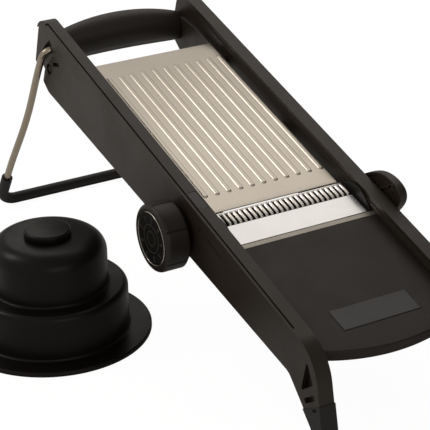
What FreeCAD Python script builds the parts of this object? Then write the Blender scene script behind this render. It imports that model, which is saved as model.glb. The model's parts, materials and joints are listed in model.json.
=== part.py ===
"""Mandoline slicer with a wire stand, a rotary blade drum and a round food holder. Millimetres, +Z up.

The slicer itself is drawn in its own deck frame: x across, s up the deck towards the handle and n
square to the deck. s = 0 is the front edge of the blade opening and n = 0 the top of the side rails.
place() tips that frame to the deck's slope and stands it on the bench.
"""
import FreeCAD, Part
import math
import os

# ---------------------------------------------------------------- driving dimensions
DECK_SLOPE = 15.565          # degrees, deck against the bench
DECK_HEIGHT = 97.06          # bench to the rail tops at s = 0
CLEAR_WIDTH = 99.7           # between the two side rails
RAIL_WIDTH = 10.0
INNER = CLEAR_WIDTH / 2         # inner and outer face of a rail, from the middle
OUTER = INNER + RAIL_WIDTH
RAIL_WALL = 2.4
RAIL_REAR = 261.7            # rear end of the rails
RAIL_REAR_RADIUS = 12.0
RAIL_DEPTH_REAR = 48.6       # depth of a rail's side at the handle end
RAIL_DEPTH_FRONT = 28.6      # and at the front leg
LEG_TOP = -103.2             # where the leg's front line meets the rail top
LEG_TOP_RADIUS = 28.0
FOOT_FRONT = -113.2          # the foot's sole on the bench, front and rear
FOOT_REAR = -100.5
FOOT_WALL = 3.0
FOOT_PROUD = 0.5
PEG_LENGTH = 16.0
LEDGE_DROP = 0.8             # step along the outer edge of a rail's top
LEDGE_WIDTH = 2.2
GROOVE_WIDTH = 0.6
TRACK_PROUD = 0.7            # slide track on a rail's inner wall
TRACK_TOP = 3.6
TRACK_HEIGHT = 1.8

DECK_TOP = 8.0               # working surface below the rail tops
DECK_THICK = 4.0
DECK_LIP_DEPTH, DECK_LIP_THICK = 7.2, 2.4    # turned-down front edge
DECK_FRONT = 104.3           # run-out deck's front at the middle
DECK_FRONT_RADIUS = 122.0
LIP_FRONT = -1.0             # steel lip at the deck's rear edge
LIP_THICK = 0.8
BADGE_WIDTH, BADGE_LENGTH, BADGE_THICK = 53.0, 17.3, 1.4
BADGE_CENTRE = -76.0
BADGE_PROUD = 0.4

DRUM_SIDE = 31.0                 # across two opposite faces
DRUM_S, DRUM_N = 18.5, -DECK_TOP - DRUM_SIDE / 2     # axis of the blade drum
LIP_REAR = DRUM_S - DRUM_SIDE / 2 - 0.5             # the lip ends just before the drum
DRUM_LENGTH = CLEAR_WIDTH - 3.7  # between the end discs
DRUM_DISC_THICK = 0.9
DRUM_BAR = 6.0
DRUM_AXLE_RADIUS = 4.0
DRUM_HUB_RADIUS = 8.0
DRUM_HUB_LENGTH = 6.0
BLADE_LENGTH = DRUM_LENGTH - 3.6
BLADE_WIDTH = 18.0
BLADE_THICK = 1.2
TOOTH_PITCH_FINE = 3.7
TOOTH_PITCH_WIDE = 7.4
TOOTH_WIDTH = 1.7
TOOTH_RISE = 1.0
WAVE_PITCH = 4.0

SHAFT_S, SHAFT_N = 48.2, -28.2   # axis of the thickness shaft
SHAFT_RADIUS = 3.0
CAM_RADIUS = 13.0
CAM_WIDTH = 6.0
CAM_X = INNER - 13.85
CAM_TURN = 270.0                 # degrees of dial for the whole range
CAM_STEP = 335.0                 # where the cam steps back up
SLICE_MAX = 8.0                  # drop of the ramp's front edge

RAMP_FRONT, RAMP_REAR = DRUM_S + DRUM_SIDE / 2 + 1.1, 202.5
RAMP_HALF = INNER - 5.35
RAMP_SHEET = 0.6
RIB_COUNT, RIB_PITCH, RIB_WIDTH, RIB_HEIGHT = 11, 8.4, 3.6, 0.8
RIB_FRONT, RIB_REAR = 50.0, 187.0
CARRIER_HALF = INNER - 4.65
CARRIER_THICK = 2.4
CARRIER_FRONT = RAMP_FRONT + 3.4
CARRIER_SKIRT = 5.0
PIN_S, PIN_N = 197.0, -14.0      # ramp hinge
PIN_RADIUS = 2.0
BRACKET_THICK = 3.5

KNOB_RADIUS = 21.7
KNOB_BACK, KNOB_FRONT = OUTER + 2.15, OUTER + 19.65
KNOB_NECK_RADIUS = 11.0
KNOB_SEAMS, KNOB_SEAM_WIDTH, KNOB_SEAM_ANGLE = 6, 0.7, 74.0
KNOB_EDGE, KNOB_BACK_CHAMFER = 3.0, 2.4
DIAL_RADIUS = 16.5
DIAL_RING = 1.1
DIAL_DEPTH = 1.6
DIAL_THICK = 1.2

LEVER_BACK, LEVER_FRONT = OUTER + 2.15, OUTER + 8.15     # selector lever on the right
LEVER_OUTLINE = [(46, -20, 10), (29, 0.5, 14), (14, 9.8, 14), (-2, 10.4, 7), (-8, 3.4, 5), (-3.4, -9, 20),
                 (12, -36, 10), (24, -45, 12), (42, -38, 12)]
LEVER_WEB_HALF, LEVER_WEB_ANGLE = 19.0, 30.0
LEVER_RIM = 2.2
LEVER_HOLLOW = 3.4
LEVER_GRIP_LENGTH, LEVER_GRIP_WIDTH, LEVER_GRIP_HEIGHT = 30.0, 8.0, 5.0

GRIP_S, GRIP_N = 254.5, -26.0            # handle grip, at its ends
GRIP_END_S, GRIP_END_N = 8.0, 10.5       # half sizes at the ends
GRIP_MID_S, GRIP_MID_N = 12.0, 14.0      # and in the middle
GRIP_ARCH_S, GRIP_ARCH_N = 3.0, 3.5      # how far the middle is arched
GRIP_CORE_RADIUS = 4.5

PIVOT_S, PIVOT_N = 240.6, -15.5          # stand pivot
WIRE_RADIUS = 2.5
WIRE_BEND = 7.0
STAND_BAR_Y = 317.94                     # bar on the bench
STAND_SLEEVE_RADIUS = 4.15
STAND_HALF = OUTER + 12.0                # at the bar
STAND_TOP_HALF = OUTER + 4.35            # at the pivot
STAND_CORNER = 12.0
SLEEVE_UP = 28.0                         # sleeve's length up each leg
STAND_POCKET = 5.0                       # depth of the pocket that the wire turns in
STAND_POCKET_OUTLINE = [(242.0, -7.4, 0.6), (236.7, -12.4, 2.5), (236.7, -19.5, 3.5), (245.2, -31.5, 4), (248.6, -60),
                        (264, -60), (261.7, -38.7), (257.2, -30.2, 8), (249.6, -16.7, 8)]
REAR_WEB_OUTLINE = [(241.8, -7.4, 0.5), (259.6, -7.4, 1.5), (266, -14), (266, -60), (250, -60)]
REAR_WEB_SUNK = 1.3
CATCH_S, CATCH_N, CATCH_RADIUS = 239.2, -30.6, 2.0
CATCH_SLOT_OUTLINE = [(233.6, -24.6, 0.5), (234.2, -21.6, 0.5), (225.4, -16.8, 0.5), (224.2, -19.4, 0.5)]

HOLDER_X, HOLDER_Y = -OUTER - 58.23, 122.61    # food holder, standing on the bench
BRIM_RADIUS, BRIM_THICK = 64.4, 3.0
TIER_RADIUS, TIER_TOP, TIER_ROUND = 49.9, 33.6, 4.0
DOME_RADIUS, DOME_TOP, DOME_ROUND = 37.4, 67.2, 12.0
HOLDER_WALL = 2.6
CAP_RADIUS, CAP_TOP = 15.1, 72.06
ROD_RADIUS = 4.0
GUIDE_RADIUS, GUIDE_LENGTH = 8.0, 14.0
PRESS_RADIUS, PRESS_THICK, PRESS_BOTTOM = 32.5, 3.0, 6.5
PRONG_RADIUS, PRONG_LENGTH = 0.9, 5.0
PRONG_CIRCLES = ((0, 1), (14, 6), (26, 10))     # radius of a circle of prongs, and how many
PRONG_TIP_LENGTH, PRONG_TIP_RADIUS = 2.0, 0.15

# fits
RUNNING = 0.05               # radial clearance of a shaft in its bush
GAP = 0.3                    # between parts that move past each other
BUSH_WALL = 2.5
SCREW_RADIUS, SCREW_HEAD_RADIUS, SCREW_HEAD = 1.5, 2.8, 1.8

# ---------------------------------------------------------------- worked out from the above
SLOPE = math.radians(DECK_SLOPE)
LEVEL = -DECK_TOP
DRUM_HALF = DRUM_SIDE / 2
DRUM_RADIUS = math.hypot(DRUM_HALF, DRUM_HALF)
DISC_INNER = DRUM_LENGTH / 2
DISC_OUTER = DISC_INNER + DRUM_DISC_THICK
CARRIER_TOP = LEVEL - RAMP_SHEET
CARRIER_BOTTOM = CARRIER_TOP - CARRIER_THICK
TILT = math.asin(SLICE_MAX / (PIN_S - RAMP_FRONT))
CAM_DROP = (PIN_S - SHAFT_S) * TILT
PIVOT_Y = PIVOT_S * math.cos(SLOPE) - PIVOT_N * math.sin(SLOPE)
PIVOT_Z = DECK_HEIGHT + PIVOT_S * math.sin(SLOPE) + PIVOT_N * math.cos(SLOPE)
LEFT_REACH = HOLDER_X - BRIM_RADIUS
RIGHT_REACH = LEVER_FRONT + LEVER_GRIP_HEIGHT
FRONT_REACH = FOOT_FRONT - FOOT_PROUD
REAR_REACH = STAND_BAR_Y + STAND_SLEEVE_RADIUS
CENTRE = FreeCAD.Vector((LEFT_REACH + RIGHT_REACH) / 2, (FRONT_REACH + REAR_REACH) / 2, 0)

V = FreeCAD.Vector
X_AXIS = V(1, 0, 0)


# ---------------------------------------------------------------- helpers
def to_deck(y, z):
    """Bench coordinates of a point on a side view, as deck coordinates (s, n)."""
    up = z - DECK_HEIGHT
    return (y * math.cos(SLOPE) + up * math.sin(SLOPE), -y * math.sin(SLOPE) + up * math.cos(SLOPE))


def place(shape):
    """Tip a shape drawn in the deck frame to the deck's slope and stand it on the bench."""
    stood = shape.copy()
    stood.rotate(V(0, 0, 0), X_AXIS, DECK_SLOPE)
    stood.translate(V(0, 0, DECK_HEIGHT))
    return stood


def export(name, shape):
    """Write one node, with the object's origin at the middle of its footprint on the bench."""
    moved = shape.copy()
    moved.translate(-CENTRE)
    moved.exportStep("parts/" + name + ".step")


def box(x0, x1, s0, s1, n0, n1):
    return Part.makeBox(x1 - x0, s1 - s0, n1 - n0, V(x0, s0, n0))


def rod(radius, x0, x1, s, n):
    """A cylinder along X."""
    return Part.makeCylinder(radius, x1 - x0, V(x0, s, n), X_AXIS)


def ring(outer, inner, x0, x1, s, n):
    return rod(outer, x0, x1, s, n).cut(rod(inner, x0, x1, s, n))


def outline(corners):
    """A wire in the plane X = 0 through corners (s, n, radius), each rounded by its radius."""
    edges, ends = [], []
    count = len(corners)
    for i, (s, n, radius) in enumerate(corners):
        here = V(0, s, n)
        before = V(0, *corners[i - 1][:2]) - here
        after = V(0, *corners[(i + 1) % count][:2]) - here
        before.normalize()
        after.normalize()
        if radius == 0:
            ends.append((here, here))
            continue
        half = before.getAngle(after) / 2
        run = radius / math.tan(half)
        middle = before + after
        middle.normalize()
        centre = here + middle * (radius / math.sin(half))
        start, stop = here + before * run, here + after * run
        edges.append(Part.Arc(start, centre - middle * radius, stop).toShape())
        ends.append((start, stop))
    for i in range(count):
        start, stop = ends[i][1], ends[(i + 1) % count][0]
        if start.distanceToPoint(stop) > 1e-6:
            edges.append(Part.LineSegment(start, stop).toShape())
    return Part.Wire(Part.__sortEdges__(edges))


def prism(corners, x0, x1):
    """A rounded outline carried from x0 to x1."""
    face = Part.Face(outline([corner if len(corner) == 3 else (*corner, 0) for corner in corners]))
    face.translate(V(x0, 0, 0))
    return face.extrude(V(x1 - x0, 0, 0))


def mirror(shape):
    return shape.mirror(V(0, 0, 0), X_AXIS)


def pipe(points, radius):
    """A round bar along points (place, bend radius), straight between its bends."""
    edges, last = [], points[0][0]
    for i in range(1, len(points) - 1):
        here, bend = points[i]
        before = points[i - 1][0] - here
        after = points[i + 1][0] - here
        before.normalize()
        after.normalize()
        half = before.getAngle(after) / 2
        middle = before + after
        middle.normalize()
        start, stop = here + before * (bend / math.tan(half)), here + after * (bend / math.tan(half))
        centre = here + middle * (bend / math.sin(half))
        edges.append(Part.LineSegment(last, start).toShape())
        edges.append(Part.Arc(start, centre - middle * bend, stop).toShape())
        last = stop
    edges.append(Part.LineSegment(last, points[-1][0]).toShape())
    path = Part.Wire(edges)
    first = points[1][0] - points[0][0]
    circle = Part.Wire([Part.makeCircle(radius, points[0][0], first)])
    return path.makePipeShell([circle], True, False)


def screw(head, direction, length):
    """A pan-head screw: its head's outer face is centred on head."""
    body = Part.makeCylinder(SCREW_HEAD_RADIUS, SCREW_HEAD, head, direction)
    return body.fuse(Part.makeCylinder(SCREW_RADIUS, SCREW_HEAD + length, head, direction))


# ---------------------------------------------------------------- side rails and feet
HOLLOW_FRONT, HOLLOW_REAR = -78.0, 222.0        # a rail's hollow, between its solid ends
BORE_BOSS = 6.0                                 # material kept round a bore through the hollow
LEDGE_FRONT = LEG_TOP + 24                      # where the step along the top's edge begins
LEDGE_END = RAIL_REAR - RAIL_REAR_RADIUS
TRACK_REAR = 228.0
KNEE_RECESS = [(-97.7, -8, 1), (-97.6, -30.7, 1), (-107.3, -18.3, 1)]          # in the leg's outer side
LEG_SLOT = [(-101.9, -33, 0.8), (-109.6, -23.6, 0.8), (-112, -25.6, 0.8), (-104.3, -35, 0.8)]
KNEE_DEPTH, LEG_SLOT_DEPTH = 4.0, 3.0
BOOT_NOTCH, BOOT_NOTCH_DEPTH = [(-114.7, -29.5), (-111.7, -32.5), (-112.9, -33.7), (-115.9, -30.7)], 0.6
CORE_DEPTH = 4.0                                # the handle's core goes this deep into a rail
OVER = 1.0                                      # a cutting tool reaches this far past a face
SEAM = ((-117.1, -25.9), (-104.3, -38.6))       # top of the foot's boot, front and rear
SHIN = (-114.3, -45.5)                          # where the leg's rear line turns down to the foot


def rail_corners():
    return [
        (RAIL_REAR, 0, RAIL_REAR_RADIUS), (RAIL_REAR + 1.8, -RAIL_DEPTH_REAR + 10.2, 1.5),
        (RAIL_REAR - 24, -RAIL_DEPTH_REAR, 12), (-84, -RAIL_DEPTH_FRONT, 10), (*SHIN, 4),
        (*to_deck(FOOT_REAR, 0), 1), (*to_deck(FOOT_FRONT, 0), 1.5), (LEG_TOP, 0, LEG_TOP_RADIUS)]


def below_seam(x0, x1, drop=0):
    """Everything under the seam between a leg and its boot."""
    (s0, n0), (s1, n1) = SEAM
    along = V(0, s1 - s0, n1 - n0)
    along.normalize()
    down = V(0, along.z, -along.y)
    front = V(0, s0, n0) - along * 40 + down * drop
    rear = V(0, s1, n1) + along * 40 + down * drop
    corners = [front, rear, rear + down * 120, front + down * 120]
    return prism([(corner.y, corner.z) for corner in corners], x0, x1)


def inset_prism(inset, x0, x1):
    face = Part.Face(outline(rail_corners())).makeOffset2D(-inset)
    face.translate(V(x0, 0, 0))
    return face.extrude(V(x1 - x0, 0, 0))


def leg_peg():
    """The tongue of a left leg that its boot is pushed over."""
    tongue = inset_prism(FOOT_WALL, -OUTER + FOOT_WALL, -INNER - FOOT_WALL)
    return tongue.common(below_seam(-OUTER, -INNER)).cut(below_seam(-OUTER, -INNER, PEG_LENGTH))


def left_rail():
    rail = prism(rail_corners(), -OUTER, -INNER).cut(below_seam(-OUTER - 1, -INNER + 1))
    hollow = inset_prism(RAIL_WALL, -OUTER + RAIL_WALL, -INNER - RAIL_WALL)
    lower = hollow.copy()
    lower.translate(V(0, 0, -2 * RAIL_WALL))
    hollow = hollow.fuse(lower).common(box(-OUTER, -INNER, HOLLOW_FRONT, HOLLOW_REAR, -80, 0))
    for radius, s, n in ((DRUM_AXLE_RADIUS, DRUM_S, DRUM_N), (SHAFT_RADIUS, SHAFT_S, SHAFT_N)):
        hollow = hollow.cut(rod(radius + BORE_BOSS, -OUTER, -INNER, s, n))
    rail = rail.cut(hollow)
    step = box(-OUTER - OVER, -OUTER + LEDGE_WIDTH, LEDGE_FRONT, LEDGE_END, -LEDGE_DROP, OVER)
    groove = box(-OUTER + LEDGE_WIDTH - GROOVE_WIDTH, -OUTER + LEDGE_WIDTH, LEDGE_FRONT, LEDGE_END,
                 -2 * LEDGE_DROP, OVER)
    track = box(-INNER, -INNER + TRACK_PROUD, HOLLOW_FRONT, TRACK_REAR, -TRACK_TOP - TRACK_HEIGHT, -TRACK_TOP)
    rail = rail.cut(step.fuse(groove)).fuse(track)
    # pocket that the stand's wire folds out of, open below, with the stand's catch in it
    pocket = prism(STAND_POCKET_OUTLINE, -OUTER - 1, -OUTER + STAND_POCKET)
    web = prism(REAR_WEB_OUTLINE, -OUTER - 1, -OUTER + REAR_WEB_SUNK)
    around_catch = rod(CATCH_RADIUS + 1.8, -OUTER - 1, -OUTER + STAND_POCKET, CATCH_S, CATCH_N)
    catch = rod(CATCH_RADIUS, -OUTER + 0.4, -OUTER + STAND_POCKET, CATCH_S, CATCH_N)
    catch_slot = prism(CATCH_SLOT_OUTLINE, -OUTER - 1, -OUTER + RAIL_WALL)
    rail = rail.cut(pocket).cut(web).cut(around_catch).cut(catch_slot).fuse(catch)
    knee = prism(KNEE_RECESS, -OUTER - OVER, -OUTER + KNEE_DEPTH)
    slot = prism(LEG_SLOT, -OUTER - OVER, -OUTER + LEG_SLOT_DEPTH)
    rail = rail.cut(knee).cut(slot).fuse(leg_peg())
    # bores
    rail = rail.cut(axle_bore(-OUTER + RAIL_WALL))
    rail = rail.cut(rod(SHAFT_RADIUS + BUSH_WALL, -OUTER - 1, -INNER + 1, SHAFT_S, SHAFT_N))
    rail = rail.cut(rod(WIRE_RADIUS + BUSH_WALL, -OUTER, -INNER - 1, PIVOT_S, PIVOT_N))
    rail = rail.cut(rod(GRIP_CORE_RADIUS, -INNER - CORE_DEPTH, -INNER, GRIP_S, GRIP_N))
    for s, n in BRACE_SCREWS:
        rail = rail.cut(rod(SCREW_RADIUS, -INNER - RAIL_WALL - 1, -INNER + 1, s, n))
    return rail.removeSplitter()


def axle_bore(outer_end):
    return rod(DRUM_AXLE_RADIUS + BUSH_WALL, outer_end, -INNER + 1, DRUM_S, DRUM_N)


# long recess pressed into the left rail's outer side, above the drum's axle
SIDE_RECESS = [(27.1, -8.2, 0.4), (27.1, -11.2, 0.4), (19.3, -12.0, 0.4), (16.6, -10.4, 0.4), (14.7, -11.1, 0.4),
               (-0.6, -11.8, 0.6), (-1.2, -8.6, 0.6), (14.1, -7.5, 0.4)]
SIDE_RECESS_DEPTH = 0.8


def side_recess():
    return prism(SIDE_RECESS, -OUTER - 1, -OUTER + SIDE_RECESS_DEPTH)


WINDOW = (33.3, 49.9)        # thickness window in the left rail's top, front and rear
WINDOW_DEPTH = 1.8


def window_space(clearance, proud):
    return box(-OUTER + LEDGE_WIDTH + 0.3 + clearance, -INNER - 0.8 - clearance, WINDOW[0] + clearance,
               WINDOW[1] - clearance, -WINDOW_DEPTH, proud)


def left_foot():
    boot = inset_prism(-FOOT_PROUD, -OUTER - FOOT_PROUD, -INNER + FOOT_PROUD)
    boot = boot.common(below_seam(-OUTER - 2, -INNER + 2)).cut(leg_peg())
    boot = boot.cut(prism(BOOT_NOTCH, -OUTER - 2 * OVER, -OUTER + BOOT_NOTCH_DEPTH))
    bench = Part.makeBox(400, 400, 200, V(-200, -200, 0))
    return place(boot).common(bench)


# ---------------------------------------------------------------- fixed pieces between the rails
BRACES = {"front_brace": (-70.0, -14.0, -26.0), "rear_brace": (120.0, -24.0, -38.0)}
BRACE_THICK = 4.0
BRACE_FOOT_LENGTH, BRACE_FOOT_THICK = 10.0, 2.4
BRACE_HOLES_X, BRACE_HOLE_RADIUS = (-24.0, 24.0), 3.5
DECK_RIBS_X, DECK_RIB_HALF, DECK_RIB_DEPTH = (-38.0, -19.0, 19.0, 38.0), 1.0, 3.0
DECK_RIB_FRONT, DECK_RIB_REAR = -88.0, -10.0
HINGE_WEB_OUTLINE = [(186, -11, 3), (226, -11, 4), (246, -14, 4), (GRIP_S + 3, -19, 3), (GRIP_S + 3, -33, 3),
                     (240, -35, 4), (229, -28, 8), (212, -22, 6), (186, -20, 3)]
BRACE_SCREWS = [(s + BRACE_THICK / 2, (top + bottom) / 2 + side * 3.5)
                for s, top, bottom in BRACES.values() for side in (-1, 1)]


def runout_deck():
    """Run-out deck: curved front edge, pocket for the badge, rear edge cleared for the turning drum."""
    deck = box(-INNER, INNER, -DECK_FRONT - 5, LIP_FRONT, LEVEL - DECK_THICK, LEVEL)
    front = Part.makeCylinder(DECK_FRONT_RADIUS, 40, V(0, DECK_FRONT_RADIUS - DECK_FRONT, LEVEL - 20))
    deck = deck.common(front)
    rim = [edge for edge in deck.Edges if isinstance(edge.Curve, Part.Circle)]
    deck = deck.makeChamfer(0.8, [edge for edge in rim if edge.CenterOfMass.z > LEVEL - 1])
    skirt = front.cut(Part.makeCylinder(DECK_FRONT_RADIUS - DECK_LIP_THICK, 40,
                                        V(0, DECK_FRONT_RADIUS - DECK_FRONT, LEVEL - 20)))
    deck = deck.fuse(skirt.common(box(-INNER, INNER, -DECK_FRONT - 5, BADGE_CENTRE, LEVEL - DECK_LIP_DEPTH,
                                      LEVEL - DECK_THICK)))
    shelf = box(-INNER, INNER, LIP_FRONT - 6, LIP_REAR - 0.5, LEVEL - DECK_THICK, LEVEL - LIP_THICK)
    deck = deck.fuse(shelf)
    deck = deck.cut(rod(DRUM_RADIUS + 0.5, -INNER - 1, INNER + 1, DRUM_S, DRUM_N))
    pocket = box(-BADGE_WIDTH / 2, BADGE_WIDTH / 2, BADGE_CENTRE - BADGE_LENGTH / 2,
                 BADGE_CENTRE + BADGE_LENGTH / 2, LEVEL - BADGE_THICK + BADGE_PROUD, LEVEL + 1)
    deck = deck.cut(pocket)
    below, brace_front = LEVEL - DECK_THICK, BRACES["front_brace"][0]
    for x in DECK_RIBS_X:
        stiffener = box(x - DECK_RIB_HALF, x + DECK_RIB_HALF, DECK_RIB_FRONT, DECK_RIB_REAR,
                        below - DECK_RIB_DEPTH, below)
        deck = deck.fuse(stiffener.cut(box(x - 2, x + 2, brace_front - 0.2, brace_front + BRACE_THICK + 0.2,
                                           -30, below)))
    return deck.removeSplitter()


def badge_plate():
    plate = box(-BADGE_WIDTH / 2, BADGE_WIDTH / 2, BADGE_CENTRE - BADGE_LENGTH / 2,
                BADGE_CENTRE + BADGE_LENGTH / 2, LEVEL - BADGE_THICK + BADGE_PROUD, LEVEL + BADGE_PROUD)
    return plate.makeChamfer(0.25, [edge for edge in plate.Edges if edge.CenterOfMass.z > LEVEL + BADGE_PROUD - 0.01])


def lip_strip():
    """Steel lip between the run-out deck and the drum, its rear edge ground thin."""
    strip = prism([(LIP_FRONT, LEVEL), (LIP_FRONT, LEVEL - LIP_THICK), (LIP_REAR - 0.5, LEVEL - LIP_THICK),
                   (LIP_REAR, LEVEL - 0.2), (LIP_REAR, LEVEL)], -INNER, INNER)
    return strip.cut(rod(DRUM_RADIUS + 0.2, -INNER - 1, INNER + 1, DRUM_S, DRUM_N))


def brace(s, top, bottom):
    """A board between the rails, screwed at its ends, with a bent foot along its lower edge."""
    board = box(-INNER, INNER, s, s + BRACE_THICK, bottom, top)
    board = board.fuse(box(-INNER, INNER, s, s + BRACE_FOOT_LENGTH, bottom, bottom + BRACE_FOOT_THICK))
    for x in BRACE_HOLES_X:
        board = board.cut(Part.makeCylinder(BRACE_HOLE_RADIUS, BRACE_THICK + 2 * OVER,
                                            V(x, s - OVER, (top + bottom) / 2 + 0.6), V(0, 1, 0)))
    for screw_s, screw_n in BRACE_SCREWS:
        for x0 in (-INNER - 1, INNER - 9):
            board = board.cut(rod(SCREW_RADIUS, x0, x0 + 10, screw_s, screw_n))
    return board.removeSplitter()


def brace_screws():
    screws = []
    for s, n in BRACE_SCREWS:
        left = screw(V(-INNER - RAIL_WALL - SCREW_HEAD, s, n), X_AXIS, RAIL_WALL + 8)
        screws += [left, mirror(left)]
    return Part.makeCompound(screws)


def left_hinge_bracket():
    """Web on the left rail that carries the ramp's hinge pin and the handle's end."""
    web = prism(HINGE_WEB_OUTLINE, -INNER, -INNER + BRACKET_THICK)
    return web.cut(rod(PIN_RADIUS + RUNNING, -INNER, -INNER + BRACKET_THICK, PIN_S, PIN_N)).cut(grip_space())


def grip_sections():
    """Stations (x, s, n, half size in s, half size in n) from end to end of the grip."""
    stations = 9
    for i in range(stations):
        x = -INNER + 2 * INNER * i / (stations - 1)
        arch = 1 - (x / INNER) ** 2
        swell = arch ** 0.8
        yield (x, GRIP_S + GRIP_ARCH_S * arch, GRIP_N + GRIP_ARCH_N * arch,
               GRIP_END_S + (GRIP_MID_S - GRIP_END_S) * swell, GRIP_END_N + (GRIP_MID_N - GRIP_END_N) * swell)


def grip_body():
    wires = []
    for x, s, n, half_s, half_n in grip_sections():
        ellipse = Part.Ellipse(V(x, s, n + half_n), V(x, s + half_s, n), V(x, s, n))
        wires.append(Part.Wire([ellipse.toShape()]))
    return Part.makeLoft(wires, True, False)


def grip_space():
    return rod(GRIP_END_N + 0.6, -INNER - 1, INNER + 1, GRIP_S, GRIP_N).common(
        prism([(GRIP_S - GRIP_END_S - 4.5, -60), (GRIP_S + 30, -60), (GRIP_S + 30, 0),
               (GRIP_S - GRIP_END_S - 4.5, 0)], -INNER - 1, INNER + 1))


def handle_grip():
    return grip_body().cut(rod(GRIP_CORE_RADIUS, -INNER - 1, INNER + 1, GRIP_S, GRIP_N))


def handle_core():
    return rod(GRIP_CORE_RADIUS, -INNER - CORE_DEPTH, INNER + CORE_DEPTH, GRIP_S, GRIP_N)


# ---------------------------------------------------------------- ramp
def rib(x):
    length = RIB_REAR - RIB_FRONT - RIB_WIDTH
    bead = Part.makeBox(RIB_WIDTH, length, RIB_HEIGHT, V(x - RIB_WIDTH / 2, RIB_FRONT + RIB_WIDTH / 2, LEVEL))
    for s in (RIB_FRONT + RIB_WIDTH / 2, RIB_REAR - RIB_WIDTH / 2):
        bead = bead.fuse(Part.makeCylinder(RIB_WIDTH / 2, RIB_HEIGHT, V(x, s, LEVEL)))
    bead = bead.removeSplitter()
    top = [edge for edge in bead.Edges if edge.CenterOfMass.z > LEVEL + RIB_HEIGHT - 0.01]
    return bead.makeFillet(RIB_HEIGHT * 0.8, top)


def ramp_plate():
    plate = box(-RAMP_HALF, RAMP_HALF, RAMP_FRONT, RAMP_REAR, LEVEL - RAMP_SHEET, LEVEL)
    upright = [edge for edge in plate.Edges if abs(edge.Vertexes[0].Z - edge.Vertexes[1].Z) > 0.1]
    plate = plate.makeFillet(2.0, upright)
    for i in range(RIB_COUNT):
        plate = plate.fuse(rib((i - (RIB_COUNT - 1) / 2) * RIB_PITCH))
    return plate.removeSplitter()


CARRIER_RIBS_S, CARRIER_RIBS_X, CARRIER_RIB_THICK = (62.0, 90.0, 140.0, 168.0), (-15.0, 15.0), 1.8
SKIRT_THICK = 2.2
CAM_PAD_HALF = 6.0              # cam pads reach this far before and behind the shaft
LUG_THICK, LUG_WALL = 6.0, 2.5


def ramp_carrier():
    """Plastic frame under the steel ramp: side skirts, cross ribs, cam pads and hinge lugs."""
    rear = RAMP_REAR - 1
    base = box(-CARRIER_HALF, CARRIER_HALF, CARRIER_FRONT, rear, CARRIER_BOTTOM, CARRIER_TOP)
    foot = CARRIER_BOTTOM - CARRIER_SKIRT
    for side in (-1, 1):
        x = side * (CARRIER_HALF - SKIRT_THICK / 2)
        base = base.fuse(box(x - SKIRT_THICK / 2, x + SKIRT_THICK / 2, SHAFT_S + 8, rear, foot, CARRIER_BOTTOM))
        pad = box(side * CAM_X - CAM_WIDTH / 2 - 1, side * CAM_X + CAM_WIDTH / 2 + 1, SHAFT_S - CAM_PAD_HALF,
                  SHAFT_S + CAM_PAD_HALF, SHAFT_N + CAM_RADIUS + GAP, CARRIER_BOTTOM)
        lug_x = side * (CARRIER_HALF - LUG_THICK / 2)
        lug = box(lug_x - LUG_THICK / 2, lug_x + LUG_THICK / 2, PIN_S - 5, rear,
                  PIN_N - PIN_RADIUS - LUG_WALL, CARRIER_BOTTOM)
        base = base.fuse(pad).fuse(lug)
    for s in CARRIER_RIBS_S:
        base = base.fuse(box(-CARRIER_HALF, CARRIER_HALF, s, s + CARRIER_RIB_THICK, foot + 1, CARRIER_BOTTOM))
    for x in CARRIER_RIBS_X:
        base = base.fuse(box(x - CARRIER_RIB_THICK / 2, x + CARRIER_RIB_THICK / 2, CARRIER_RIBS_S[0], rear - 8,
                             foot + 1, CARRIER_BOTTOM))
    base = base.fuse(rod(PIN_RADIUS + LUG_WALL, -CARRIER_HALF, CARRIER_HALF, PIN_S, PIN_N))
    return base.cut(rod(PIN_RADIUS, -CARRIER_HALF, CARRIER_HALF, PIN_S, PIN_N)).removeSplitter()


def ramp_pin():
    return rod(PIN_RADIUS, -INNER + 0.8, INNER - 0.8, PIN_S, PIN_N)


# ---------------------------------------------------------------- blade drum
AXLE_STOP = 1.5                 # skin left at the closed end of an axle's seat
DRUM_SCREWS_X, DRUM_SCREW_RADIUS, DRUM_SCREW_HEAD_RADIUS = (-38.0, 0.0, 38.0), 1.2, 2.2
LEVER_GRIP_ANGLE = 122.0


def on_face(shape, quarter):
    """A piece drawn on the drum's top face, turned to another face."""
    turned = shape.copy()
    turned.rotate(V(0, DRUM_S, DRUM_N), X_AXIS, -90 * quarter)
    return turned


def drum_frame():
    """Two end discs with hubs, joined by a bar at each corner; each bar carries a blade's heel."""
    discs = []
    for side in (-1, 1):
        x0, x1 = sorted((side * DISC_INNER, side * DISC_OUTER))
        h0, h1 = sorted((side * (DISC_INNER - DRUM_HUB_LENGTH), side * DISC_INNER))
        disc = rod(DRUM_RADIUS, x0, x1, DRUM_S, DRUM_N).fuse(rod(DRUM_HUB_RADIUS, h0, h1, DRUM_S, DRUM_N))
        seat = sorted((side * (DISC_INNER - DRUM_HUB_LENGTH + AXLE_STOP), side * DISC_OUTER))
        discs.append(disc.cut(rod(DRUM_AXLE_RADIUS, *seat, DRUM_S, DRUM_N)))
    frame = discs[0].fuse(discs[1])
    inner = DRUM_HALF - BLADE_THICK
    bar = box(-DISC_INNER, DISC_INNER, DRUM_S - inner, DRUM_S - inner + DRUM_BAR,
              DRUM_N + inner - DRUM_BAR, DRUM_N + inner)
    for quarter in range(4):
        frame = frame.fuse(on_face(bar, quarter))
    return frame.removeSplitter()


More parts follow.
